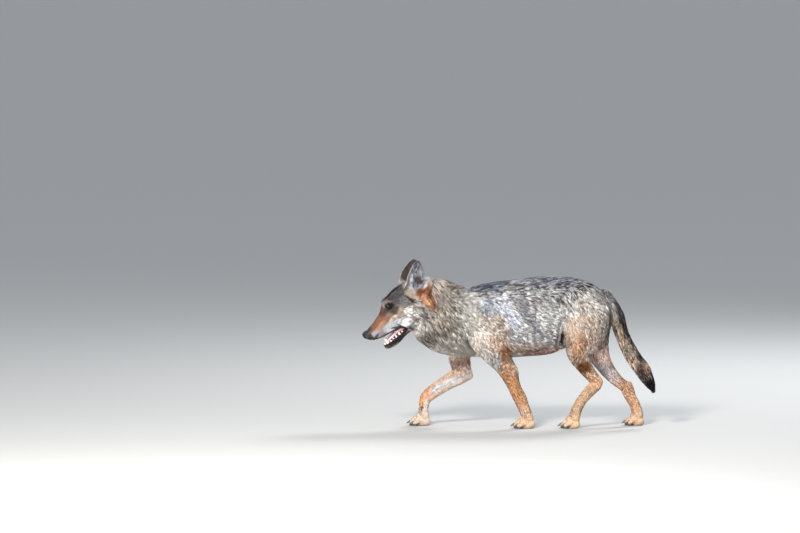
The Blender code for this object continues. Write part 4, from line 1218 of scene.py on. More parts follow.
def scatter(where, count, unrest, rng):
    """Each lock's root, its normal there, its direction, length, depth and width."""
    chosen = np.flatnonzero(where)
    spread = coat_at(scalp[chosen])[3] ** SPREAD_POWER
    chosen = rng.choice(chosen, count, p=spread / spread.sum())
    flow = along_skin(coat_at(scalp[chosen])[0], scalp_normals[chosen])
    sideways = np.cross(scalp_normals[chosen], flow)
    stray = rng.uniform(-ROOT_STRAY, ROOT_STRAY, (2, count, 1))
    roots, normals = on_skin(scalp[chosen] + stray[0] * flow + stray[1] * sideways)
    flow, length, depth, width = coat_at(roots)
    flow = along_skin(flow, normals)
    sideways = np.cross(normals, flow)
    streak = wander(roots - 0.75 * flow * np.sum(roots * flow, axis=1)[:, None], 0.009, 3.0)
    lean = 1.6 * wander(roots, 0.028, 9.0) + rng.standard_normal(count)
    flow = along_skin(flow + sideways * unrest * lean[:, None], normals)
    length = length * rng.uniform(*LENGTH_RANGE, count) * (1 + 0.15 * streak)
    return roots, normals, flow, length, depth, width


# %% [markdown]
# A spine is a lock's middle line. Step by step it goes ahead, finds the skin below and stands a
# little higher over it each time. Where the skin falls away beneath it, or turns from under it,
# it runs on freely, so that locks stand clear of an edge as real ones do.

# %% The way of a lock over the body
ROOT_SUNK = 0.0006  # how deep a lock starts under the skin
FREE_FROM, FREE_OVER = 0.008, 0.012  # the height over the skin at which a lock runs free
TURNED_AWAY = 0.2
RISE_RANGE = (0.75, 1.05)
HANG = np.array((0, 0, -0.02))


def lay_spines(roots, normals, flow, length, depth, levels, rng):
    """Points along each lock from its root to its tip, and the way outwards at each."""
    spine, outwards = [roots - normals * ROOT_SUNK], [normals]
    here, heading = roots, flow
    for share in np.append(np.arange(1, levels) / levels, 1.0):
        ahead = here + heading * (length / levels)[:, None]
        skin_there, normal_there = on_skin(ahead)
        off = np.linalg.norm(ahead - skin_there, axis=1)
        turned = np.sum(normal_there * outwards[-1], axis=1) < TURNED_AWAY
        free = np.maximum(np.clip((off - FREE_FROM) / FREE_OVER, 0, 1), turned)[:, None]
        normal_there[turned] = outwards[-1][turned]
        rise = depth * (0.15 + 0.75 * share**0.8) * rng.uniform(*RISE_RANGE, len(roots))
        held = skin_there + normal_there * rise[:, None]
        spine.append(held + free * (ahead + outwards[-1] * rise[:, None] * 0.5 - held))
        outwards.append(normal_there)
        here = skin_there + free * (ahead - skin_there)
        heading = along_skin(heading, normal_there) + HANG
    spine = np.stack(spine, axis=1)
    for level in range(1, levels + 1):
        went = spine[:, level] - roots
        lost = np.sum(went * flow, axis=1) < 0.6 * np.linalg.norm(went, axis=1)
        straight = roots + flow * (length * level / levels)[:, None] + normals * depth[:, None] * 0.5
        spine[lost, level] = straight[lost]
    return spine, outwards


# %% [markdown]
# Locks stand in clumps. One lock in nine leads, and the others lean over towards their leader,
# the more so the nearer the tip. No point is let further from the skin than the coat is deep.

# %% Clumps
LOCKS_IN_A_CLUMP = 9
CLUMP_PULL = 0.42  # how far a tip goes towards its leader's
LOCK_OFF_FLOOR = 0.0012


def long_clumps(roots, flow, leaders):
    """The clump of each lock: the nearest leader, where distance along the coat counts less."""
    tree = KDTree(len(leaders))
    for n, leader in enumerate(leaders):
        tree.insert(Vector(roots[leader]), n)
    tree.balance()
    near = np.array([[hit[1] for hit in tree.find_n(Vector(p), 7)] for p in roots])
    away = roots[leaders[near]] - roots[:, None]
    ahead = np.sum(away * flow[:, None], axis=2)
    gap = np.sum(away**2, axis=2) - 0.90 * ahead**2
    return near[np.arange(len(roots)), np.argmin(gap, axis=1)]


def gather(spine, roots, flow, depth, rng):
    """Draws the spines together. Gives how many clumps there are and the clump of each lock."""
    count, levels = len(roots), spine.shape[1] - 1
    leaders = rng.choice(count, count // LOCKS_IN_A_CLUMP, replace=False)
    clump = long_clumps(roots, flow, leaders)
    leader = leaders[clump]
    for level in range(1, levels + 1):
        pull = CLUMP_PULL * (level / levels) ** 1.5
        spine[:, level] += pull * (spine[leader, level] - spine[:, level])
        under, _normals = on_skin(spine[:, level])
        out = spine[:, level] - under
        most = (1.15 * depth + 0.002) / np.maximum(np.linalg.norm(out, axis=1), 1e-6)
        spine[:, level] = under + out * np.minimum(most, 1)[:, None]
    spine[:, :, 2] = np.maximum(spine[:, :, 2], LOCK_OFF_FLOOR)
    return len(leaders), clump


# %% [markdown]
# Round its spine a lock is three-sided and flat. Its colour is that of the markings at its root,
# darker at the foot as painted shade of the coat over it, and paler towards the tip. It varies from
# clump to clump, in streaks along the coat, and from lock to lock, and some locks are black-tipped.

# %% The form and colour of a lock
def lock_rings(spine, outwards, thickness):
    rings = []
    levels = spine.shape[1] - 1
    for level in range(levels):
        share = level / levels
        bulge = (0.75, 1.0)[level > 0] * (1 - share**2.2 * 0.9)
        ahead = unit(spine[:, level + 1] - spine[:, level])
        across = unit(np.cross(outwards[level], ahead))
        upwards = np.cross(ahead, across)
        half = (0.5 * thickness * bulge)[:, None]
        middle = spine[:, level]
        left, right, top = -across * half, across * half, upwards * half * 0.7
        rings.append(np.stack([middle + left, middle + right, middle + top], 1))
    return np.stack(rings, axis=1)


def lock_tints(roots, normals, flow, levels, clumps, clump, contrast, rng):
    count = len(roots)
    colour = markings(roots, normals)
    pepper = pepper_at(roots)
    alike = (rng.random(count) < 0.60) & (pepper > 0.12)
    draw = np.where(alike, rng.random(clumps)[clump], rng.random(count))
    black = draw < pepper
    lighten = 1 + 0.70 * pepper / (1 - pepper)
    clump_tone = np.exp(0.65 * contrast * rng.standard_normal(clumps))[clump]
    from_middle = roots - roots.mean(axis=0)
    lengthwise = flow * np.sum(from_middle * flow, axis=1)[:, None]
    streak_tone = np.exp(2.2 * contrast * wander(from_middle - 0.90 * lengthwise, 0.0060, 6.0))
    shade = (lighten * clump_tone * streak_tone * rng.uniform(0.86, 1.14, count))[:, None]
    # painted shade: each lock is darker at its foot, where the coat over it shades it
    foot_shade, tip_shade = 0.62 if levels > 1 else 0.84, 1.12
    tints = []
    for level in range(levels + 1):
        share = level / levels
        pale = colour * shade * (foot_shade + (tip_shade - foot_shade) * share)
        dark = colour * (0.50 - 0.42 * min(1, 1.4 * share)) + 0.008
        tints += [np.where(black[:, None], dark, pale)] * (3 if level < levels else 1)
    return np.clip(np.stack(tints, axis=1), DARKEST, PALEST)


def grow(name, where, count, levels, line, unrest, contrast, rng):
    """Grows a coat piece from the scalp points chosen by where. Unrest is how far the locks
    turn from the lie of the coat, and contrast how much one clump differs from the next."""
    roots, normals, flow, length, depth, width = scatter(where, count, unrest, rng)
    spine, outwards = lay_spines(roots, normals, flow, length, depth, levels, rng)
    clumps, clump = gather(spine, roots, flow, depth, rng)
    rings = lock_rings(spine, outwards, width * rng.uniform(*WIDTH_RANGE, count))
    tints = lock_tints(roots, normals, flow, levels, clumps, clump, contrast, rng)
    piece = mesh_from_locks(name, rings, spine[:, levels], tints, unwrap(roots, line))
    print(name, count, "locks", len(piece.data.polygons), "triangles")
    return piece


# %% [markdown]
# The coat is grown in pieces, as a taxidermist works over the body: each has its own part of the
# scalp, its own unwrap, and stays under the size that a single mesh should have. Every scalp
# point belongs to the region that has the most say there.

# %% The coat pieces
def strongest_region(points):
    best, owner = np.zeros(len(points)), np.zeros(len(points), int)
    for n, (name, line, reach, *_rest) in enumerate(COAT_REGIONS):
        gap, _along = nearest_on_line(points, line)
        weight = say(name, gap, reach)
        stronger = weight > best
        best[stronger], owner[stronger] = weight[stronger], n
    return owner


REGION_NAMES = [row[0] for row in COAT_REGIONS]
LINES = {row[0]: row[1] for row in COAT_REGIONS}
owner = strongest_region(scalp)
TRUNK_LINE = [(-0.30, 0, 0.45), (0.45, 0, 0.48)]
HEAD_LINE = head_line((0.23, 0, 0.01), (-0.10, 0, 0.01))
# piece, regions whose scalp it covers, half, locks, levels of a lock, unrest, contrast, unwrap
COAT_PIECES = [
    ("back_left", "back rump", "left", 12000, 2, 0.15, 0.25, TRUNK_LINE),
    ("back_right", "back rump", "right", 10000, 2, 0.15, 0.25, TRUNK_LINE),
    ("flank_left", "flank belly fold", "left", 14000, 2, 0.12, 0.13, TRUNK_LINE),
    ("flank_right", "flank belly fold", "right", 10500, 2, 0.12, 0.13, TRUNK_LINE),
    ("neck_left", "ruff shoulders throat latch", "left", 15000, 2, 0.12, 0.26, TRUNK_LINE),
    ("neck_right", "ruff shoulders throat latch", "right", 12000, 2, 0.12, 0.26, TRUNK_LINE),
    ("tail", "tail", "", 7500, 3, 0.06, 0.28, LINES["tail"]),
    ("arm_left", "upper_arm_left", "", 4200, 2, 0.12, 0.16, LINES["upper_arm_left"]),
    ("arm_right", "upper_arm_right", "", 3600, 2, 0.12, 0.18, LINES["upper_arm_right"]),
    ("foreleg_left", "forearm_left paw_front_left", "", 12000, 1, 0.10, 0.11, LINES["forearm_left"]),
    ("foreleg_right", "forearm_right paw_front_right", "", 11000, 1, 0.10, 0.11,
     LINES["forearm_right"]),
    ("thigh_left", "thigh_left", "", 6000, 2, 0.13, 0.22, LINES["thigh_left"]),
    ("thigh_right", "thigh_right", "", 5000, 2, 0.13, 0.22, LINES["thigh_right"]),
    ("hindleg_left", "gaskin_left shank_left paw_hind_left", "", 12500, 1, 0.10, 0.11,
     LINES["gaskin_left"] + LINES["shank_left"]),
    ("hindleg_right", "gaskin_right shank_right paw_hind_right", "", 11500, 1, 0.10, 0.11,
     LINES["gaskin_right"] + LINES["shank_right"]),
    ("cheeks", "cheek", "", 6500, 2, 0.12, 0.30, HEAD_LINE),
    ("face", "crown temple jaw", "", 21000, 1, 0.07, 0.14, HEAD_LINE),
    ("muzzle", "muzzle", "", 17000, 1, 0.05, 0.10, HEAD_LINE),
    ("ear_left", "ear_left fringe_left", "", 9500, 1, 0.08, 0.20, LINES["ear_left"]),
    ("ear_right", "ear_right fringe_right", "", 8500, 1, 0.08, 0.20, LINES["ear_right"]),
]  # fmt: skip


def round_eye(points):
    """The bare place round the eye."""
    along, side, above = to_head(points).T
    gap = ((along - 0.0785) / 0.0140) ** 2 + ((above - 0.0700) / 0.0085) ** 2
    return (gap < 1) & (np.abs(side) > 0.02)


def soles(points, normals):
    return (normals[:, 2] < -0.5) & (points[:, 2] < 0.010)


coat = []
rng = np.random.default_rng(2024)
bare = in_mouth(scalp) | round_eye(scalp) | soles(scalp, scalp_normals)
for name, regions, half, count, levels, unrest, contrast, line in COAT_PIECES:
    wanted = tuple(regions.split())
    members = [n for n, region in enumerate(REGION_NAMES) if region.startswith(wanted)]
    where = np.isin(owner, members) & ~bare
    if half:
        where &= (scalp[:, 1] < 0.002) == (half == "left")
    coat.append(grow("coat_" + name, where, count, levels, line, unrest, contrast, rng))
print("coat", sum(len(piece.data.polygons) for piece in coat), "triangles")

# %% [markdown]
# An eye is a ball with an iris disc behind a bulging cornea. The edge of its lids is a thin
# black tube that follows the almond over the ball.

# %% Eyes and lids
def closed_tube(name, centres, radii, outwards):
    """A closed ring of tube through the centres, flattened towards the outward directions."""
    bm = bmesh.new()
    first = previous = None
    count = len(centres)
    for n in range(count):
        tangent = (centres[(n + 1) % count] - centres[n - 1]).normalized()
        out = (outwards[n] - tangent * outwards[n].dot(tangent)).normalized()
        across = tangent.cross(out)
        circle = bmesh.ops.create_circle(bm, segments=12, radius=1)["verts"]
        for vert in circle:
            vert.co = centres[n] + radii[n] * (across * vert.co.x + out * 0.8 * vert.co.y)
        edges = list(dict.fromkeys(e for v in circle for e in v.link_edges))
        if previous:
            bmesh.ops.bridge_loops(bm, edges=previous + edges)
        first, previous = first or edges, edges
    bmesh.ops.bridge_loops(bm, edges=previous + first)
    bmesh.ops.recalc_face_normals(bm, faces=bm.faces)
    return object_from(name, bm)


eyes, lids = [], []
for (centre, gaze, inner, up), (_side, word) in zip(EYE_SEATS, SIDES):
    bm = bmesh.new()
    bmesh.ops.create_uvsphere(bm, u_segments=48, v_segments=32, radius=EYE_RADIUS)
    for vert in bm.verts:
        front = vert.co.z / EYE_RADIUS
        vert.co.z += 0.0007 * max(0.0, (front - 0.80) / 0.20) ** 1.5
    turn = Matrix((inner, up, gaze)).transposed()
    if turn.determinant() < 0:
        turn = Matrix((-inner, up, gaze)).transposed()
    bm.transform(Matrix.Translation(centre) @ turn.to_4x4())
    eye = object_from("eyeball_" + word, bm)
    eye["centre"], eye["gaze"] = list(centre), list(gaze)
    eyes.append(eye)
    centres, radii, outwards = [], [], []
    for angle in np.linspace(0, 2 * math.pi, 48, endpoint=False):
        wide = ALMOND[0] * math.cos(angle)
        tall = ALMOND[1] * math.sin(angle) * abs(math.sin(angle)) ** 0.35
        out = gaze * math.cos(wide) * math.cos(tall) + inner * math.sin(wide) * math.cos(tall)
        out = (out + up * math.sin(tall)).normalized()
        centres.append(centre + out * (EYE_RADIUS + 0.0007))
        radii.append(0.0015 + 0.0004 * max(0, math.sin(angle)))
        outwards.append(out)
    lids.append(closed_tube("lid_" + word, centres, radii, outwards))
print("eyes", len(eyes), "lids", len(lids))

# %% [markdown]
# The nose is a bare leathery pad. It is turned from a ball and pressed into shape like clay: a
# flattened front, two comma-shaped nostrils whose slits run back along the sides, and the
# groove that parts it down to the lip.

# %% Nose
NOSE_CENTRE = (0.2165, 0.0262)
NOSE_RADII = Vector((0.0170, 0.0190, 0.0162))  # forward, to the side and up
# forward, to the side, up, reach in each direction, depth
NOSE_HOLLOWS = [
    ((0.0125, 0.0078, -0.0010), (0.0060, 0.0036, 0.0040), 0.0075),
    ((0.0060, 0.0150, 0.0000), (0.0070, 0.0050, 0.0024), 0.0050),
    ((0.0140, 0.0000, -0.0060), (0.0080, 0.0011, 0.0090), 0.0012),
]


def nose_pad():
    bm = bmesh.new()
    bmesh.ops.create_uvsphere(bm, u_segments=72, v_segments=56, radius=1)
    for vert in bm.verts:
        forward, side, up = vert.co
        squared = 1.0 / max(abs(forward), abs(side), abs(up), 1e-6)
        squarer = 1 + 0.10 * (min(squared, 1.5) - 1) / 0.5
        place = Vector((forward * NOSE_RADII.x, side * NOSE_RADII.y, up * NOSE_RADII.z)) * squarer
        place.y *= 1 - 0.16 * max(0, -up)
        push = 0.0
        for centre, reach, depth in NOSE_HOLLOWS:
            gap = [(p - c) / r for p, c, r in zip((place.x, abs(place.y), place.z), centre, reach)]
            push += depth * math.exp(-sum(g * g for g in gap))
        place -= place.normalized() * push
        vert.co = Vector((-place.x - NOSE_CENTRE[0], place.y, place.z + NOSE_CENTRE[1]))
    bmesh.ops.recalc_face_normals(bm, faces=bm.faces)
    return in_head(object_from("nose_pad", bm))


nose = nose_pad()
print("nose", len(nose.data.vertices), "points")

# %% [markdown]
# The lips are black and bare. Each is a tube along the rim, thin under the nose, heavy at the
# corner and drooping over the lower jaw. The gums stand inside them, and the teeth in the gums.

# %% Lips and gums
def joined(name, pieces):
    bm = bmesh.new()
    for piece in pieces:
        bm.from_mesh(piece.data)
        bpy.data.objects.remove(piece)
    return object_from(name, bm)


def lip(side):
    rim = [*UPPER_LIP, *LIP_CORNER, *LOWER_LIP]
    rows = [(-along, side * across, above, tall, wide) for along, across, above, tall, wide in rim]
    return in_head(loft("lip", rows, sides=16, spacing=0.0025))


def gum(lip_rows, side, inwards, lift, tall, wide):
    """A gum stands inside a lip and a little higher, and is as long as the lip."""
    rows = [(-row[0], side * (row[1] - inwards), row[2] + lift, tall, wide) for row in lip_rows]
    return in_head(loft("gum", rows, sides=14, spacing=0.004))


lips = joined("lips", [lip(side) for side, _word in SIDES])
lip_points = points_of(lips.data)
scallops = 0.0011 * wander(lip_points, 0.007) + 0.0006 * wander(lip_points, 0.003, 4.0)
move_points(lips.data, lip_points + normals_of(lips.data) * scallops[:, None])
# the lip it follows, how far inside, how much higher, half height and half width
GUMS = [(UPPER_LIP, 0.0085, 0.0024, 0.0050, 0.0038), (LOWER_LIP, 0.0066, 0.0022, 0.0056, 0.0036)]
gums = joined("gums", [gum(row[0], side, *row[1:]) for side, _word in SIDES for row in GUMS])
print("lips", len(lips.data.vertices), "gums", len(gums.data.vertices), "points")

# %% [markdown]
# A wolf has six small incisors in front, a long curved canine at each corner, and behind it
# pointed cheek teeth that grow larger towards the back. Each tooth is a cone, bent and drawn to
# a blunt point. They are joined into an upper and a lower row, as they are fixed in the jaws.

# %% Teeth
# along, to the side, above, length, root radius, bend backwards
UPPER_TEETH = [
    (0.2070, 0.0025, -0.0020, 0.0080, 0.0019, 0.0),
    (0.2055, 0.0070, -0.0030, 0.0085, 0.0020, 0.0),
    (0.2020, 0.0112, -0.0050, 0.0100, 0.0023, 0.1),
    (0.1890, 0.0180, -0.0040, 0.0180, 0.0040, 0.2),
    (0.1690, 0.0225, -0.0140, 0.0105, 0.0030, 0.0),
    (0.1530, 0.0240, -0.0170, 0.0115, 0.0036, 0.0),
    (0.1350, 0.0260, -0.0190, 0.0125, 0.0040, 0.0),
    (0.1150, 0.0285, -0.0220, 0.0150, 0.0052, 0.0),
    (0.0980, 0.0310, -0.0250, 0.0110, 0.0046, 0.0),
]
LOWER_TEETH = [
    (0.1815, 0.0020, -0.0600, 0.0085, 0.0016, 0.0),
    (0.1805, 0.0055, -0.0600, 0.0085, 0.0017, 0.0),
    (0.1780, 0.0088, -0.0600, 0.0090, 0.0019, 0.0),
    (0.1690, 0.0135, -0.0620, 0.0260, 0.0042, 0.2),
    (0.1530, 0.0175, -0.0610, 0.0095, 0.0026, 0.0),
    (0.1390, 0.0190, -0.0610, 0.0110, 0.0032, 0.0),
    (0.1240, 0.0210, -0.0610, 0.0120, 0.0036, 0.0),
    (0.1070, 0.0240, -0.0600, 0.0140, 0.0046, 0.0),
    (0.0920, 0.0270, -0.0590, 0.0100, 0.0040, 0.0),
]


def standing_cone(segments, radius, tip_radius, length, cuts):
    """A cone on its base at the origin, cut into rings so that it can be bent."""
    bm = bmesh.new()
    bmesh.ops.create_cone(
        bm, cap_ends=True, segments=segments, radius1=radius, radius2=tip_radius, depth=length
    )
    bmesh.ops.translate(bm, verts=bm.verts, vec=(0, 0, length / 2))
    tall_edges = [e for e in bm.edges if abs(e.verts[0].co.z - e.verts[1].co.z) > length / 2]
    bmesh.ops.subdivide_edges(bm, edges=tall_edges, cuts=cuts)
    return bm


def tooth(row, side, points_up):
    along, across, above, length, radius, bend = row
    bm = standing_cone(14, radius, radius * 0.16, length, 5)
    for vert in bm.verts:
        share = vert.co.z / length
        bulge = 1 + 0.55 * share * (1 - share)
        vert.co.x = vert.co.x * bulge * 1.15 + bend * length * share * share
        vert.co.y *= bulge * 0.85
    if not points_up:
        bm.transform(Matrix.Diagonal((1, 1, -1, 1)))
        bmesh.ops.reverse_faces(bm, faces=bm.faces)
    bm.transform(Matrix.Translation((-along, side * across, above)))
    return in_head(object_from("tooth", bm))


def tooth_row(name, rows, points_up):
    return joined(name, [tooth(row, side, points_up) for side, _word in SIDES for row in rows])


teeth = [tooth_row("teeth_upper", UPPER_TEETH, False), tooth_row("teeth_lower", LOWER_TEETH, True)]
print("teeth", 2 * len(UPPER_TEETH) + 2 * len(LOWER_TEETH))

# %% [markdown]
# The tongue lies on the lower jaw behind the teeth: long, flat and wet, with a groove down its
# middle and edges that lift a little.

# %% Tongue
TONGUE_ROWS = [
    (-0.050, 0.0, -0.0540, 0.0070, 0.0190),
    (-0.080, 0.0, -0.0480, 0.0085, 0.0215),
    (-0.110, 0.0, -0.0460, 0.0085, 0.0205),
    (-0.140, 0.0, -0.0480, 0.0075, 0.0185),
    (-0.160, 0.0, -0.0515, 0.0060, 0.0150),
    (-0.173, 0.0, -0.0550, 0.0042, 0.0105),
]
tongue = loft("tongue_soft", TONGUE_ROWS, sides=40, spacing=0.003, bluntness=0.9)
for vert in tongue.data.vertices:
    if vert.normal.z > 0:
        vert.co.z -= 0.0026 * math.exp(-((vert.co.y / 0.0032) ** 2)) - 12.0 * vert.co.y**2
in_head(tongue)
print("tongue", len(tongue.data.vertices), "points")

# %% [markdown]
# Whiskers are stiff black hairs in rows on the pads beside the nose, with a few over the eye and
# on the cheek. They are made as locks are, only much thinner.

# %% Whiskers
# along, above, how many, how far back each leans, length
WHISKER_ROWS = [
    (0.196, 0.008, 5, 0.9, 0.034), (0.192, 0.001, 6, 1.0, 0.042), (0.186, -0.006, 6, 1.1, 0.046),
    (0.178, -0.012, 4, 1.1, 0.036), (0.080, 0.082, 3, 0.8, 0.026), (0.060, 0.000, 2, 1.4, 0.034),
]  # fmt: skip


WHISKER_GAP = 0.0062  # from one whisker of a row to the next


def whisker(place, normal, back, lean, length):
    """The rings and the tip of a whisker that leaves the skin at place and bends backwards."""
    spine = []
    for share in (0.0, 0.33, 0.66, 1.0):
        bend = (normal * (1 - 0.35 * share) + back * lean * (0.5 + 0.5 * share)).normalized()
        drop = Vector((0, 0, -0.10 * share * share))
        spine.append(place + (bend + drop) * length * share)
    across = normal.cross(back).normalized() * 0.00032
    over = back.cross(across).normalized() * 0.00045
    rings = []
    for level, middle in enumerate(spine[:3]):
        size = 1 - level / 3.4
        rings.append([middle - across * size, middle + across * size, middle + over * size])
    return rings, spine[3]


def grow_whiskers():
    rng = np.random.default_rng(5)
    grown = []
    for side, _word in SIDES:
        for along, above, count, lean, length in WHISKER_ROWS:
            for n in range(count):
                height = above + rng.uniform(-0.001, 0.001)
                place, normal = skin_beside(along - WHISKER_GAP * n, height, side)
                back = head_vector(-1, 0, -0.25 + rng.uniform(-0.2, 0.2))
                grown.append(whisker(place, normal, back, lean, length * (0.8 + 0.06 * n)))
    rings, tips = (np.array(part) for part in zip(*grown))
    tints = np.full((len(rings), 10, 3), 0.02)
    return mesh_from_locks("whiskers", rings, tips, tints, np.full((len(rings), 2), 0.5))


whiskers = grow_whiskers()
print("whiskers", len(whiskers.data.polygons), "triangles")

# %% [markdown]
# Claws and pads are what a wolf really stands on. The claws are blunt from running and stay out.
# They take the places of the frame's claws, with a rounder section and a finer curve. The pads
# are dark, bare leather, and reach the floor.

# %% Claws
CLAW_LENGTH = 0.019


def fine_claw(node):
    low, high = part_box(node)
    dew = node.startswith("dewclaw")
    radius = 0.0036 if dew else 0.0040
    bm = standing_cone(16, radius, radius * 0.30, CLAW_LENGTH, 6)
    for vert in bm.verts:
        share = vert.co.z / CLAW_LENGTH
        bulge = 1.25 * (1 + 0.3 * share * (1 - share))
        vert.co.x = vert.co.x * bulge - share**2 * CLAW_LENGTH * 0.34
        vert.co.y *= 0.85
    bm.transform(Matrix.Rotation(math.radians(-150 if dew else -98), 4, "Y"))
    lows = Vector([min(v.co[k] for v in bm.verts) for k in range(3)])
    highs = Vector([max(v.co[k] for v in bm.verts) for k in range(3)])
    bmesh.ops.translate(bm, verts=bm.verts, vec=(low + high) / 2 - (lows + highs) / 2)
    return object_from("claw", bm)


CLAW_NODES = {which: [f"claw_{which}_{n}" for n in (1, 2, 3, 4)] for which in PAWS}
CLAW_NODES["front_left"].append("dewclaw_left")
CLAW_NODES["front_right"].append("dewclaw_right")
claws = {
    which: joined("claws_" + which, [fine_claw(node) for node in nodes])
    for which, nodes in CLAW_NODES.items()
}


print("claws", sum(len(nodes) for nodes in CLAW_NODES.values()))

# %% [markdown]
# Each paw has one wide pad in the middle and a smaller one under each toe. A pad is a flattened
# ball with its underside cut off level with the floor.

# %% Pads
PAD_MIDDLE, PAD_HALF_HEIGHT = 0.0052, 0.0078


def paw_pads(which):
    x, y, length, width = PAWS[which]
    spots = [(x + 0.13 * length, y, 0.20 * length, 0.26 * width)]
    for slot in TOE_SLOTS:
        toe_y, _root, tip, radius = toe_line(PAWS[which], slot)
        spots.append((tip + 1.35 * radius, toe_y, 1.15 * radius, 0.78 * radius))
    pieces = []
    for spot_x, spot_y, long, wide in spots:
        bm = bmesh.new()
        bmesh.ops.create_uvsphere(bm, u_segments=24, v_segments=16, radius=1)
        size = Matrix.Diagonal((long, wide, PAD_HALF_HEIGHT, 1))
        bm.transform(Matrix.Translation((spot_x, spot_y, PAD_MIDDLE)) @ size)
        parts = [*bm.verts, *bm.edges, *bm.faces]
        cut = bmesh.ops.bisect_plane(
            bm, geom=parts, plane_co=(0, 0, 0), plane_no=(0, 0, -1), clear_outer=True
        )
        rim = [e for e in cut["geom_cut"] if isinstance(e, bmesh.types.BMEdge)]
        bmesh.ops.holes_fill(bm, edges=rim, sides=0)
        bmesh.ops.recalc_face_normals(bm, faces=bm.faces)
        pieces.append(object_from("pad", bm))
    return joined("pads_" + which, pieces)


pads = {which: paw_pads(which) for which in PAWS}
print("pads", 5 * len(pads))

# %% [markdown]
# Hair takes its colour from the markings, which are stored on the points of the skin and the
# coat as a colour attribute. A fine noise varies it from strand to strand, and roughens it.

# %% Fur
def object_noise(nodes, links, scale, detail):
    place = nodes.new("ShaderNodeTexCoord")
    noise = nodes.new("ShaderNodeTexNoise")
    noise.inputs["Scale"].default_value = scale
    noise.inputs["Detail"].default_value = detail
    links.new(place.outputs["Object"], noise.inputs["Vector"])
    return noise


def colour_ramp(nodes, links, value, stops):
    """A ramp driven by a value. Stops are (position, colour) from one end to the other."""
    ramp = nodes.new("ShaderNodeValToRGB")
    while len(ramp.color_ramp.elements) < len(stops):
        ramp.color_ramp.elements.new(0.5)
    for element, (position, colour) in zip(ramp.color_ramp.elements, stops):
        element.position = position
        element.color = (*colour, 1)
    links.new(value, ramp.inputs["Fac"])
    return ramp


def roughen(nodes, links, shader, noise, strength, distance):
    height = nodes.new("ShaderNodeBump")
    height.inputs["Strength"].default_value = strength
    height.inputs["Distance"].default_value = distance
    links.new(noise.outputs["Fac"], height.inputs["Height"])
    links.new(height.outputs["Normal"], shader.inputs["Normal"])


STRANDS = [(0.30, (0.74, 0.73, 0.72)), (0.72, (1.10, 1.08, 1.05))]


def fur_material(name, roughness, bump, grain):
    made, nodes, links, shader = new_material(name, roughness, 0.12)
    tint = nodes.new("ShaderNodeAttribute")
    tint.attribute_name = "tint"
    noise = object_noise(nodes, links, grain, 3.0)
    strands = colour_ramp(nodes, links, noise.outputs["Fac"], STRANDS)
    mix = nodes.new("ShaderNodeMix")
    mix.data_type = "RGBA"
    mix.blend_type = "MULTIPLY"
    mix.inputs["Factor"].default_value = 1.0
    links.new(tint.outputs["Color"], mix.inputs["A"])
    links.new(strands.outputs["Color"], mix.inputs["B"])
    links.new(mix.outputs["Result"], shader.inputs["Base Color"])
    roughen(nodes, links, shader, noise, bump, 0.001)
    return made


coat_material = fur_material("coat_hair", 0.68, 0.2, 900)
skin_material = fur_material("coat_ground", 0.75, 0.7, 700)
print("fur", coat_material.name, skin_material.name)

# %% [markdown]
# The skin was dense so that locks could find their way over it. Under the coat that is waste, so
# the body is thinned by a Decimate whose vertex group spares the head and the paws.

# %% Thin the skin
SKIN_FACES = 120000
PAWS_BELOW = 0.06
HEAD_BEFORE, HEAD_OVER = -0.30, 0.06  # where the thinning begins and over what distance
GROUND_SHADE = 0.72  # painted shade: the skin is darker than the coat over it, which shades it


def thin_skin():
    points = points_of(skin.data)
    thinning = np.clip((points[:, 0] - HEAD_BEFORE) / HEAD_OVER, 0, 1)
    thinning = np.where(points[:, 2] < PAWS_BELOW, 0.5, thinning)
    group = skin.vertex_groups.new(name="plain")
    for weight in (0.0, 0.25, 0.5, 0.75, 1.0):
        members = np.flatnonzero(np.abs(thinning - weight) <= 0.125)
        group.add(members.tolist(), max(weight, 0.02), "REPLACE")
    thin = skin.modifiers.new("thin", "DECIMATE")
    thin.ratio = SKIN_FACES / len(skin.data.polygons)
    thin.vertex_group = "plain"
    thin.use_collapse_triangulate = True
    apply_modifiers(skin)
    skin.vertex_groups.clear()


thin_skin()
store_tint(skin.data, markings(points_of(skin.data), normals_of(skin.data)) * GROUND_SHADE)
skin.data.calc_loop_triangles()
print("skin", len(skin.data.loop_triangles), "triangles")

# %% [markdown]
# Bare leather, horn, teeth and wet flesh differ mostly in gloss: dry and pebbled on the nose and
# pads, slick on the gums and tongue, a hard clear shine on the eye.

# %% Bare surfaces
FLESH_DEPTH = (0.004, 0.0015, 0.001)  # how deep red, green and blue light go into flesh
# name, dark and light colour, roughness, grain, bump, wet coat, flesh, shine
BARE_SURFACES = [
    ("nose_leather", (0.006, 0.006, 0.007), (0.020, 0.021, 0.025), 0.50, 900, 0.8, 0.0, 0.0, 0.12),
    ("lip_black", (0.003, 0.003, 0.004), (0.010, 0.009, 0.010), 0.50, 500, 0.6, 0.0, 0.0, 0.12),
    ("gum_flesh", (0.03, 0.015, 0.018), (0.36, 0.10, 0.11), 0.30, 120, 0.3, 0.5, 0.1, 0.5),
    ("tongue_flesh", (0.34, 0.155, 0.185), (0.62, 0.36, 0.40), 0.30, 420, 0.8, 0.5, 0.2, 0.5),
    ("tooth_enamel", (0.72, 0.66, 0.52), (0.86, 0.83, 0.74), 0.25, 160, 0.15, 0.3, 0.0, 0.5),
    ("claw_horn_dark", (0.016, 0.013, 0.012), (0.085, 0.068, 0.055), 0.40, 260, 0.4, 0.0, 0.0, 0.5),
    ("pad_leather", (0.018, 0.016, 0.016), (0.055, 0.047, 0.045), 0.65, 700, 0.9, 0.0, 0.0, 0.5),
    ("whisker_black", (0.012, 0.011, 0.012), (0.03, 0.028, 0.03), 0.40, 500, 0.1, 0.0, 0.0, 0.5),
]


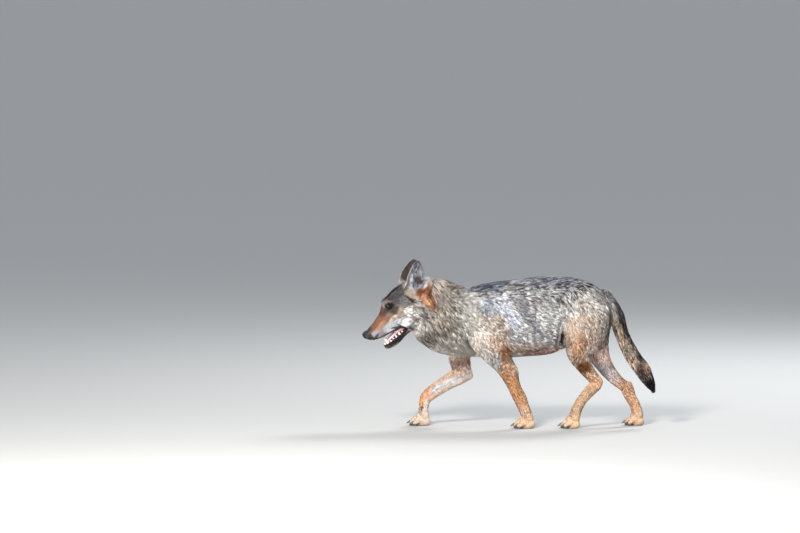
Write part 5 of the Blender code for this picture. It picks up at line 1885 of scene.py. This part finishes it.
def bare_material(name, dark, light, roughness, grain, bump, wet, flesh, shine):
    made, nodes, links, shader = new_material(name, roughness, shine)
    noise = object_noise(nodes, links, grain, 4.0)
    ramp = colour_ramp(nodes, links, noise.outputs["Fac"], [(0.32, dark), (0.70, light)])
    links.new(ramp.outputs["Color"], shader.inputs["Base Color"])
    roughen(nodes, links, shader, noise, bump, 0.0006)
    shader.inputs["Coat Weight"].default_value = wet
    shader.inputs["Coat Roughness"].default_value = 0.12
    shader.inputs["Subsurface Weight"].default_value = flesh
    shader.inputs["Subsurface Radius"].default_value = FLESH_DEPTH
    return made


bare_materials = {row[0]: bare_material(*row) for row in BARE_SURFACES}
print("bare surfaces", len(bare_materials))

# %% [markdown]
# The iris is painted in rings round the line of gaze: the pupil, the dark brown iris with its
# paler middle, the black limbal ring, and a little of the white, all darkened as painted shade of the
# deep-set eye.

# %% The iris
IRIS_REACH = 0.0110  # the distance from the front of the eye at which the rings end
# painted shade: iris and white are far darker than a wolf's amber eye
SHADED_IRIS_RINGS = [
    (0.00, (0.002, 0.002, 0.002)), (0.33, (0.002, 0.002, 0.002)), (0.37, (0.020, 0.010, 0.003)),
    (0.48, (0.036, 0.017, 0.005)), (0.60, (0.018, 0.009, 0.003)), (0.66, (0.004, 0.003, 0.002)),
    (0.76, (0.012, 0.009, 0.008)), (1.00, (0.08, 0.055, 0.05)),
]  # fmt: skip


def eye_material(eye):
    made, nodes, links, shader = new_material(eye.name + "_iris", 0.10, 0.3)
    place = nodes.new("ShaderNodeTexCoord")
    away = nodes.new("ShaderNodeVectorMath")
    away.operation = "DISTANCE"
    away.inputs[1].default_value = Vector(eye["centre"]) + Vector(eye["gaze"]) * EYE_RADIUS
    links.new(place.outputs["Object"], away.inputs[0])
    scaled = nodes.new("ShaderNodeMapRange")
    scaled.inputs["From Max"].default_value = IRIS_REACH
    links.new(away.outputs["Value"], scaled.inputs["Value"])
    rings = colour_ramp(nodes, links, scaled.outputs["Result"], SHADED_IRIS_RINGS)
    links.new(rings.outputs["Color"], shader.inputs["Base Color"])
    shader.inputs["Coat Weight"].default_value = 0.6
    shader.inputs["Coat Roughness"].default_value = 0.03
    return made


irises = [eye_material(eye) for eye in eyes]
print("irises", len(irises))

# %% [markdown]
# Every piece gets its material, and moves with the root. The skin takes the
# place of the frame's whole body, and the small parts take the places of their coarse versions.

# %% Dress the pieces and tie them to the frame
def dress(piece, material, slot, *replaced):
    piece.data.materials.clear()
    piece.data.materials.append(material)
    piece.data.polygons.foreach_set("use_smooth", [True] * len(piece.data.polygons))
    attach(piece, "root")
    if replaced:
        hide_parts(*replaced)


dress(skin, skin_material, "fur_grey", *FLESH, *REMADE)
for piece in coat:
    tan = "leg" in piece.name or "muzzle" in piece.name
    dress(piece, coat_material, "fur_tan" if tan else "fur_grey")
for eye, iris, lid, (_side, word) in zip(eyes, irises, lids, SIDES):
    dress(eye, iris, "eye_amber", "eye_" + word)
    del eye["centre"], eye["gaze"]
    dress(lid, bare_materials["lip_black"], "nose_black")
dress(nose, bare_materials["nose_leather"], "nose_black", "nose")
dress(lips, bare_materials["lip_black"], "nose_black")
dress(gums, bare_materials["gum_flesh"], "tongue_pink")
for row in teeth:
    dress(row, bare_materials["tooth_enamel"], "tooth_ivory")
dress(tongue, bare_materials["tongue_flesh"], "tongue_pink", "tongue")
dress(whiskers, bare_materials["whisker_black"], "claw_horn")
for which, nodes in CLAW_NODES.items():
    dress(claws[which], bare_materials["claw_horn_dark"], "claw_horn", *nodes)
    dress(pads[which], bare_materials["pad_leather"], "nose_black")
print("dressed", len(coat), "coat pieces and the parts of the head and paws")
